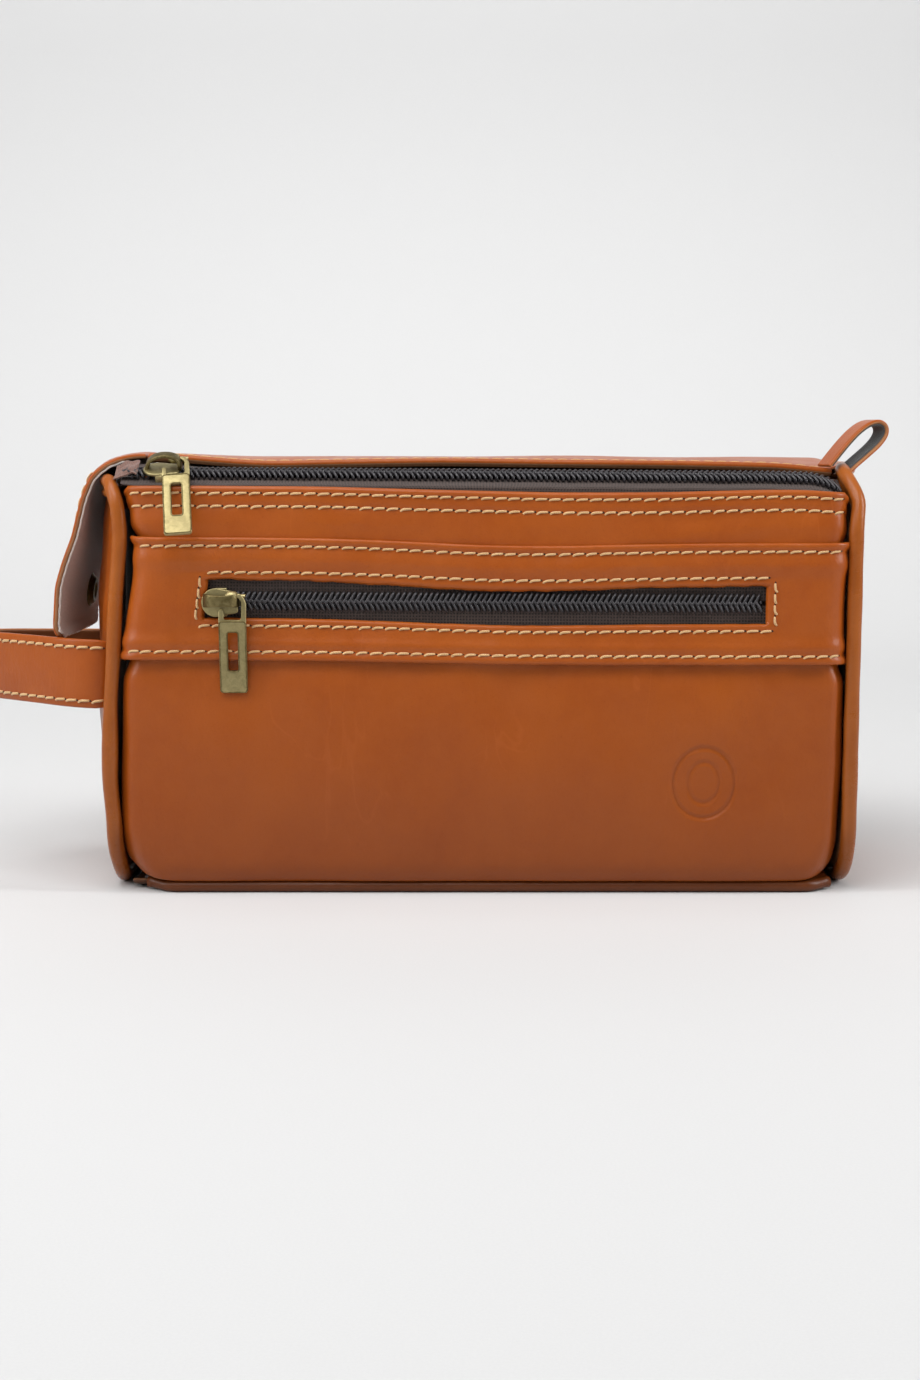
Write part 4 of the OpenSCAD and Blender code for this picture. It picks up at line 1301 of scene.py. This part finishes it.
us, vs = lining_lines(-116, 116), lining_lines(6, 128)
front_lining = lining_piece("front_lining_sheet", surface_sheet(
    front_lining_face, us, vs, LINING_T), "bag", "front_lining")


def back_lining_face(u, z):
    """The lining inside the back panel."""
    p = back_wall(u / LINING_HALF, z, -3.0) + 0.4 * ripples(u, z, 40, 102)[..., None] * [0, 1, 0]
    p[..., 1] = np.minimum(p[..., 1], 51.5)
    return p


vs = lining_lines(6, 126)
back_lining = lining_piece("back_lining_sheet", surface_sheet(
    back_lining_face, us, vs, LINING_T), "bag", "back_lining")


def lid_lining_face(s, v):
    """The lining under the lid, carried on over the hinge to overlap the back lining."""
    p = lid_surface(s, v)
    return p - grid_normals(p) * 3.3


us, vs = lining_lines(-114, 114), lines(1.5, LID_RUN - 4, gap=2.5, edge=1.0)
lid_lining = lining_piece("lid_lining_sheet", surface_sheet(
    lid_lining_face, us, vs, LINING_T, LINING_HALF), None, "lid_lining")
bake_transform(lid_lining)

for side, word in ((-1, "left"), (1, "right")):
    ys, zs = lining_lines(-45, 45), lining_lines(6, 128)
    y, z = grid_of(ys, zs)
    corner = np.hypot(np.maximum(np.abs(y) - 24, 0), np.maximum(28 - z, 0))
    lift = np.where(corner > 22, (corner - 22) * 0.9, 0)
    x = side * (118.6 + 0.35 * (1 + ripples(y, z, 40, 103 + side)))
    points = np.stack([x, y * (1 - 0.06 * step(lift / 8)), z + lift * 0.7], -1)
    obj = lining_piece(f"{word}_end_lining_sheet", sheet_part(points[::side], ys, zs, LINING_T),
                       "bag", f"{word}_end_lining")

xs, ys = lining_lines(-114, 114), lining_lines(-45, 45)
x, y = grid_of(xs, ys)
points = np.stack([x, y, 4.1 + 0.12 * (1 + ripples(x, y, 50, 105))], -1)
obj = lining_piece("bottom_lining_sheet", sheet_part(points, xs, ys, LINING_T), "bag",
                   "bottom_lining")

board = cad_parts["bottom_board"]
board.data.materials.clear()
board.data.materials.append(BOARD)


def pouch_face(u, v):
    """The zip pocket's pouch: down behind the front, round its fold and up again."""
    back = step((v - 97) / 4)
    z = np.where(v < 98, 112 - v * 0.98, 16 + (v - 98) * 0.98)
    swell = np.sin(math.pi * np.clip((112 - z) / 100, 0, 1)) * np.cos(u / 100 * math.pi / 2)
    y = FRONT_Y + 3.7 + 3.0 * back + 0.35 * swell * (2 * back - 1)
    y = y + 0.15 * ripples(u, v, 30, 106)
    return np.stack([u, y, z + droop(u, z) * 0.5], -1)


us, vs = lining_lines(-100, 100), lines(0, 196, gap=3.0, edge=1.0)
pouch = lining_piece("pocket_pouch_sheet", surface_sheet(pouch_face, us, vs, 0.4), "bag",
                     "pocket_pouch")

# ---- zips

COIL_PITCH, COIL_STEPS = 1.82, 14


def coil_part(place, x0, x1, side):
    """One half of a coil zip: a monofilament wound round its cord, with flattened heads that
    lock into those of the other half. side is +1 for the half on the far side of the chain, and
    the near half is half a turn on."""
    count = int((x1 - x0) / COIL_PITCH)
    t = np.arange(count * COIL_STEPS + 1) / COIL_STEPS
    angle = 2 * math.pi * t
    u = -0.5 + 3.4 * (1 - np.cos(angle)) / 2
    x = x0 + COIL_PITCH * (t + 0.5 * (side < 0)) + 0.10 * np.sin(angle) + 0.42 * (u + 0.5)
    bulge = np.sin(angle)
    head = np.clip(np.cos(angle), 0, 1) ** 5
    n = 1.35 + 0.98 * np.sign(bulge) * np.abs(bulge) ** 0.75 + 0.8 * head
    return sweep_part(place(x, side * u, n), (1, 0, 0), ring_section(0.5, 6, 0.9),
                      1 + 0.24 * head)


def tape_sheet(name, points, us, vs, body, node):
    """One side of a zip's tape, as a cloth sheet."""
    obj = mesh_object(name, [sheet_part(points, us, vs, 0.55, edge_r=0.25)], [TAPE], body,
                      [node])


# The pocket zip
us = lines(-97, 97, gap=3.0, edge=1.0)
for side, word in ((1, "upper"), (-1, "lower")):
    vs = lines(0, 12.6, gap=0.9, edge=0.6)
    u, v = grid_of(us, vs)
    rib = 0.22 * hump(v - 3.4, 0.5)
    n = 0.35 + rib + 0.12 * ripples(u, v, 18, 111) - 0.5 * step((v - 6.5) / 3)
    points = on_pocket_zip(u, side * (0.75 + v), n)[::side]
    tape_sheet(f"pocket_zip_{word}_tape_cloth", points, us, vs, "bag", f"pocket_zip_{word}_tape")
    mesh_object(f"pocket_zip_{word}_coil_wire", [coil_part(on_pocket_zip, -91.5, 91.0, side)],
                [COIL], "bag", [f"pocket_zip_{word}_coil"])

# The main zip: its front tape turns down behind the band, its rear one runs in under the lid
FLAT_TAPE, TAPE_R, TAPE_TURN = 5.9, 2.2, math.radians(66)  # before its turn down, and the turn
us = lines(-119, 119.3, gap=2.5, edge=1.0)
vs = lines(0, 19.5, gap=0.9, edge=0.6)
u, v = grid_of(us, vs)
lean = ZIP_TILT + np.clip((v - FLAT_TAPE) / TAPE_R, 0, TAPE_TURN)
down = np.maximum(v - FLAT_TAPE - TAPE_R * TAPE_TURN, 0)
points = on_main_zip(u, -0.75 - np.minimum(v, FLAT_TAPE), 0.3 + 0.1 * ripples(u, v, 16, 112))
points[..., 1] -= TAPE_R * (np.sin(lean) - math.sin(ZIP_TILT))
points[..., 2] -= TAPE_R * (np.cos(ZIP_TILT) - np.cos(lean)) + down
points[..., 1] = np.maximum(points[..., 1], FRONT_Y + SKIN + 0.3)
points[..., 0] *= 1 - 0.05 * step((v - 4.5) / 3)
tape_sheet("main_zip_front_tape_cloth", points[::-1], us, vs, "bag", "main_zip_front_tape")

REAR_FLAT = 5.4  # width of the rear tape before it runs in under the lid
vs = lines(0, 20.0, gap=0.9, edge=0.6)
u, v = grid_of(us, vs)
points = on_main_zip(u, 0.75 + np.minimum(v, REAR_FLAT), 0.3 + 0.1 * ripples(u, v, 16, 113))
beyond = np.maximum(v - REAR_FLAT, 0)
points[..., 1] += beyond * 0.985
under = lid_height(u, points[..., 1]) - 3.4
share = step(beyond / 5)
points[..., 2] = points[..., 2] * (1 - share) + np.minimum(points[..., 2] + 1.5, under) * share
tape_sheet("main_zip_rear_tape_cloth", points, us, vs, "lid", "main_zip_rear_tape")
for side, word, body in ((-1, "front", "bag"), (1, "rear", "lid")):
    mesh_object(f"main_zip_{word}_coil_wire", [coil_part(on_main_zip, -118.5, 118.0, side)],
                [COIL], body, [f"main_zip_{word}_coil"])

# The frayed end of the main zip's tapes, folded over by the left seam
us, vs = lines(-121.6, -113.6, gap=0.4, edge=0.5), lines(-3.6, 6.8, gap=0.5, edge=0.5)
u, v = grid_of(us, vs)
frayed = on_main_zip(u, v, 2.9 + 0.5 * ripples(u, v, 4, 114) - 0.03 * (u + 113.6) ** 2)
mesh_object("main_zip_tape_end", [sheet_part(frayed, us, vs, 0.6, edge_r=0.3)], [FRAYED], "bag")

# ---- sliders and pullers

# A slider's body: its nose and tail along the zip, half its width and its two plates
NOSE_X, TAIL_X, SLIDER_HALF = -2.1, 5.2, 4.7
PLATE_N, LOW_PLATE_N, PLATE_T = 2.9, -1.6, 1.0
# A puller: its pin, its ring's and plate's lengths, its leg's width and its slot
PIVOT_U, PIVOT_N, PIN_R = 2.4, 6.2, 0.6
PULLER_X0, PULLER_W, PULLER_T = -0.9, 9.1, 1.3
RING_L, LEG_START, PLATE_L, LEG_W = 8.4, 4.7, 24.0, 1.7
SLOT_W, SLOT_L, SLOT_TOP = 3.3, 12.9, 3.6
PULLER_BEND = 11


def zip_matrix(x, place, dip):
    """Where a slider's own places lie: along the zip, across it and out from it. A slider runs
    straight, so the chain's dip at the bag's middle is taken away."""
    start, across, out = (place(0.0, u, n) - [0, 0, dip] for u, n in ((0, 0), (1, 0), (0, 1)))
    columns = [(1, 0, 0), across - start, out - start, (x, start[1], start[2])]
    return Matrix([*np.stack(columns, 1).tolist(), (0, 0, 0, 1)])


def box_part(x0, x1, y0, y1, z0, z1, bevel=0.25):
    """A box with rounded edges."""
    return plate_part(rounded_rect(x0, x1, y0, y1, bevel * 1.2, 3), [], z0, z1 - z0, bevel)


def slider_parts():
    """A slider's two plates, side walls, divider, bridge and barrel."""
    outline = arc_points(NOSE_X, 0, SLIDER_HALF, 90, 270, 22)
    outline += arc_points(TAIL_X - 0.9, -SLIDER_HALF * 0.76 + 0.9, 0.9, 280, 360, 5)
    outline += arc_points(TAIL_X - 0.9, SLIDER_HALF * 0.76 - 0.9, 0.9, 0, 80, 5)
    parts = [plate_part(outline, [], PLATE_N, PLATE_T, 0.3),
             plate_part(outline, [], LOW_PLATE_N, PLATE_T, 0.3)]
    for side in (-1, 1):
        low, high = sorted((side * (SLIDER_HALF - 0.75), side * SLIDER_HALF))
        parts.append(box_part(NOSE_X - 0.4, NOSE_X + 3.6, low, high, -1.2, PLATE_N + 0.3))
    parts.append(box_part(NOSE_X - 3.2, NOSE_X - 1.2, -0.35, 0.35, -1.2, PLATE_N + 0.3, 0.1))
    line = np.array([(-5.7, 3.3), (-5.5, 4.9), (-4.6, 6.5), (-2.9, 7.7), (-0.6, 8.3),
                     (1.8, 8.3), (3.7, 7.7), (4.9, 6.5), (5.3, 5.0), (5.2, 3.4)])
    t = np.linspace(0, 1, 26)
    knots = np.linspace(0, 1, len(line))
    x, n = (np.interp(t, knots, line[:, k]) for k in (0, 1))
    for row in (x, n):
        row[1:-1] = (row[:-2] + 2 * row[1:-1] + row[2:]) / 4
    path = np.stack([x, 0.75 + 0 * x, n], 1)
    parts.append(sweep_part(path, (0, 0, 1), rounded_bar(4.1, 1.1, 0.35),
                            1 + 0.10 * np.cos(2 * math.pi * t)))
    barrel = [(1.35, 0), (1.5, 0.15), (1.5, 2.65), (1.35, 2.8)]
    parts.append(lathe_part(barrel, 20, turned((2.1, PIVOT_U, PIVOT_N), 90, "Y")))
    return parts


def rim_part(outline):
    """A fine raised wire on the puller's outer face."""
    path = np.array([(x, y, PULLER_T / 2 - 0.05) for x, y in outline])
    return sweep_part(path, (0, 0, 1), ring_section(0.26, 6), closed=True)


def puller_parts(slope, swing):
    """Ring and plate of a puller in its slider's places, hanging along -u and turned a little on
    its loose pin."""
    x0, x1 = PULLER_X0, PULLER_X0 + PULLER_W
    pin = lathe_part([(PIN_R * 0.8, 0), (PIN_R, 0.12), (PIN_R, 6.5)], 14,
                     turned((1.4, 0, 0), 90, "Y"))
    ring = [(x0, -RING_L - 0.3), (x1, -RING_L - 0.3), (x1, -2.6), (x1 - 0.5, -1.2),
            (x1 - 1.6, 0.35), (x1 - 2.2, 0.6), (x1 - 2.9, 0.6), (x1 - 2.9, -0.6),
            (x1 - LEG_W - 0.7, -0.9), (x1 - LEG_W, -2.0), (x1 - LEG_W, -RING_L + 1.0),
            (x1 - LEG_W - 0.4, -RING_L + 0.6), (x0 + LEG_W + 0.4, -RING_L + 0.6),
            (x0 + LEG_W, -RING_L + 1.0), (x0 + LEG_W, -LEG_START), (x0 + 0.9, -LEG_START + 0.35),
            (x0, -LEG_START)]
    frame_part = plate_part(ring, [], -PULLER_T / 2, PULLER_T, 0.3)
    slot_x = x0 + (PULLER_W - SLOT_W) / 2
    slot = rounded_rect(slot_x, slot_x + SLOT_W, -SLOT_TOP - SLOT_L, -SLOT_TOP, 0.7)
    plate = rounded_rect(x0, x1, -PLATE_L, 0.35, 1.0)
    parts = [plate_part(plate, [slot[::-1]], -PULLER_T / 2, PULLER_T, 0.3),
             rim_part(rounded_rect(x0 + 0.3, x1 - 0.3, -PLATE_L + 0.3, 0.1, 0.9)),
             rim_part(rounded_rect(slot_x - 0.25, slot_x + SLOT_W + 0.25,
                                   -SLOT_TOP - SLOT_L - 0.25, -SLOT_TOP + 0.25, 0.9))]
    bend = turned((0, -RING_L, 0), PULLER_BEND, "X")
    middle = Vector((5, 0, 0))
    loose = turned(middle, swing, "Z") @ Matrix.Translation(-middle)
    hang = turned((0, PIVOT_U, PIVOT_N), slope, "X") @ loose
    return ([moved(part, hang @ bend) for part in parts]
            + [moved(part, hang) for part in (frame_part, pin)])


for word, place, x, dip, slope, swing in (
        ("main", on_main_zip, MAIN_SLIDER_X, zip_dip(0.0), 16, 6),
        ("pocket", on_pocket_zip, POCKET_SLIDER_X, 0.0, -3, 0)):
    matrix = zip_matrix(x, place, dip)
    brass_piece(f"{word}_slider", [moved(p, matrix) for p in slider_parts()], f"{word}_slider")
    brass_piece(f"{word}_puller", [moved(p, matrix) for p in puller_parts(slope, swing)],
                f"{word}_puller")

# ---- handle, loop and snap

# The handle: its strap, its lining and the stitches along its two edges
us = lines(0, HANDLE_RUN, gap=2.0, edge=1.0)
vs = lines(-STRAP_HALF, STRAP_HALF, gap=1.1, edge=1.2)
strap = tan_sheet("handle_leather", "handle_strap", handle_surface, us, vs, HANDLE_RUN, STRAP_HALF,
                  body=None, thick=1.7, under=CUT, edge_r=0.8)
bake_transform(strap)
vs = lines(-11, 11, gap=1.1, edge=1.2)
u, v = grid_of(us, vs)
inner = handle_surface(u / HANDLE_RUN, v / STRAP_HALF, -1.75)
strap_lining = mesh_object("handle_lining_leather", [sheet_part(inner, us, vs, 1.2, edge_r=0.6)],
                           [DARK], None, ["handle_lining"])
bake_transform(strap_lining)
strap_rows = [row_on(handle_surface, np.linspace(0.02, 0.98, 700), edge * 8.9 / STRAP_HALF)
              for edge in (-1, 1)]
strap_stitches = stitches("handle_stitches", strap_rows, None, pitch=4.9, seed=31, size=0.43)
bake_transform(strap_stitches)

us = lines(0, LOOP_RUN, gap=0.9, edge=0.8)
vs = lines(-LOOP_HALF, LOOP_HALF, gap=0.6, edge=0.8)


def loop_face(u, v):
    """Outer face of the loop's leather, out from its middle line."""
    return loop_surface(u, v, 0.7)


tan_sheet("pull_loop_strip", "pull_loop_leather", loop_face, us, vs, LOOP_RUN, LOOP_HALF,
          body="pull_loop", thick=1.3, under=CUT, edge_r=0.65)
us = lines(1.5, LOOP_RUN - 1.5, gap=0.9, edge=0.5)
vs = lines(-4.0, 4.0, gap=0.6, edge=0.5)
u, v = grid_of(us, vs)
inner = loop_surface(u / LOOP_RUN, v / LOOP_HALF, -0.62)
mesh_object("pull_loop_inner_strip", [sheet_part(inner, us, vs, 0.5)], [LOOP_LINING],
            "pull_loop", ["pull_loop_lining"])


def axis_matrix(place, axis):
    """A turned shape's own axis laid along a direction at a place."""
    turn = Vector(axis).to_track_quat("Z", "Y").to_matrix().to_4x4()
    return Matrix.Translation(Vector(place)) @ turn


snap_v = 0.45
below = np.linspace(0.4, 0.95, 60)
snap_u = float(np.interp(-98.5, -flap_surface(below, snap_v)[:, 2], below))
around = np.linspace(snap_u - 0.01, snap_u + 0.01, 61)
place, normal = (a[len(around) // 2] for a in row_on(flap_surface, around, snap_v))
on_flap = axis_matrix(place, normal)
on_end = axis_matrix((float(left_face(0.0, SNAP_Z)), 0.0, SNAP_Z), (-1, 0, 0.02))
# The snap's turned pieces: their matrix, body, sides and (radius, height) profile
for node, matrix, body, sides, profile in (
        ("snap_cap", on_flap, "end_flap", 40,
         [(0.2, -1.4), (1.2, -1.4), (1.2, -0.2), (5.9, -0.15), (6.0, 0.2), (5.6, 0.7),
          (4.4, 1.25), (2.5, 1.62), (0.2, 1.7)]),
        ("snap_socket", on_flap, "end_flap", 40,
         [(1.1, -2.35), (5.7, -2.4), (6.0, -2.6), (6.0, -2.9), (5.2, -3.1), (4.6, -4.1),
          (4.2, -4.3), (2.9, -4.3), (2.6, -4.1), (2.5, -3.3), (1.1, -3.2)]),
        ("snap_stud", on_end, "bag", 36,
         [(1.0, 0.0), (5.0, 0.05), (5.0, 0.35), (4.6, 0.6), (1.6, 0.75), (1.6, 1.3),
          (2.05, 1.8), (2.0, 2.2), (1.4, 2.45), (0.2, 2.5)]),
        ("snap_rivet", on_end, "bag", 32,
         [(0.2, -0.2), (1.0, -0.2), (1.0, -1.7), (4.7, -1.8), (5.0, -2.1), (4.6, -2.5),
          (0.2, -2.7)])):
    brass_piece(node, [lathe_part(profile, sides, matrix)], body)

# ---- floor, light and camera

SWEEP_FRONT, SWEEP_BACK, SWEEP_R, SWEEP_TOP, SWEEP_HALF = -900, 700, 500, 2400, 2600
profile = [(SWEEP_FRONT, 0), (SWEEP_BACK, 0)]
profile += arc_points(SWEEP_BACK, SWEEP_R, SWEEP_R, -84, 0, 15)
profile += [(SWEEP_BACK + SWEEP_R, SWEEP_TOP)]
width = np.linspace(-SWEEP_HALF, SWEEP_HALF, 5)
verts = np.array([(x, y, z) for y, z in profile for x in width])
n = len(width)
faces = [(i * n + j, i * n + j + 1, (i + 1) * n + j + 1, (i + 1) * n + j)
         for i in range(len(profile) - 1) for j in range(n - 1)]
sweep = mesh_object("paper_sweep", [(verts, faces, 0, verts[:, :2])], [PAPER])


def softbox(name, place, target, size, power, spread=180):
    """A rectangular light at a place in metres, turned to a target."""
    data = bpy.data.lights.new(name, "AREA")
    data.shape, data.size, data.size_y = "RECTANGLE", size[0], size[1]
    data.energy, data.spread = power, math.radians(spread)
    lamp = bpy.data.objects.new(name, data)
    lamp.location = place
    lamp.rotation_euler = (Vector(target) - Vector(place)).to_track_quat("-Z", "Y").to_euler()
    bpy.context.scene.collection.objects.link(lamp)


softbox("overhead_softbox", (-0.22, -0.34, 0.95), (0, -0.02, 0.10), (0.9, 0.55), 6.4)
softbox("front_left_softbox", (-0.75, -1.25, 1.25), (0, 0, 0.10), (1.5, 1.3), 9.2)
softbox("right_strip_softbox", (0.85, -0.22, 0.50), (0.10, -0.05, 0.09), (0.14, 0.6), 4.8)
softbox("left_strip_softbox", (-0.85, -0.30, 0.50), (-0.10, -0.05, 0.09), (0.14, 0.6), 3.0)
softbox("backdrop_softbox", (0, 0.50, 1.75), (0, 1.25, 0.55), (2.4, 0.7), 10.2, 105)
world = bpy.data.worlds.new("studio")
world.use_nodes = True
background = world.node_tree.nodes["Background"]
background.inputs["Color"].default_value = (1, 1, 1, 1)
background.inputs["Strength"].default_value = 0.21
bpy.context.scene.world = world

lens = bpy.data.cameras.new("camera")
lens.lens, lens.sensor_width, lens.sensor_fit = 55.7, 36.0, "AUTO"
lens.clip_start, lens.clip_end = 0.05, 20
camera = bpy.data.objects.new("camera", lens)
camera.location = (-0.0074, -0.755, 0.150)
camera.rotation_euler = (math.radians(83.38), 0, 0)
bpy.context.scene.collection.objects.link(camera)
bpy.context.scene.camera = camera
bpy.context.scene.view_settings.view_transform = "Standard"
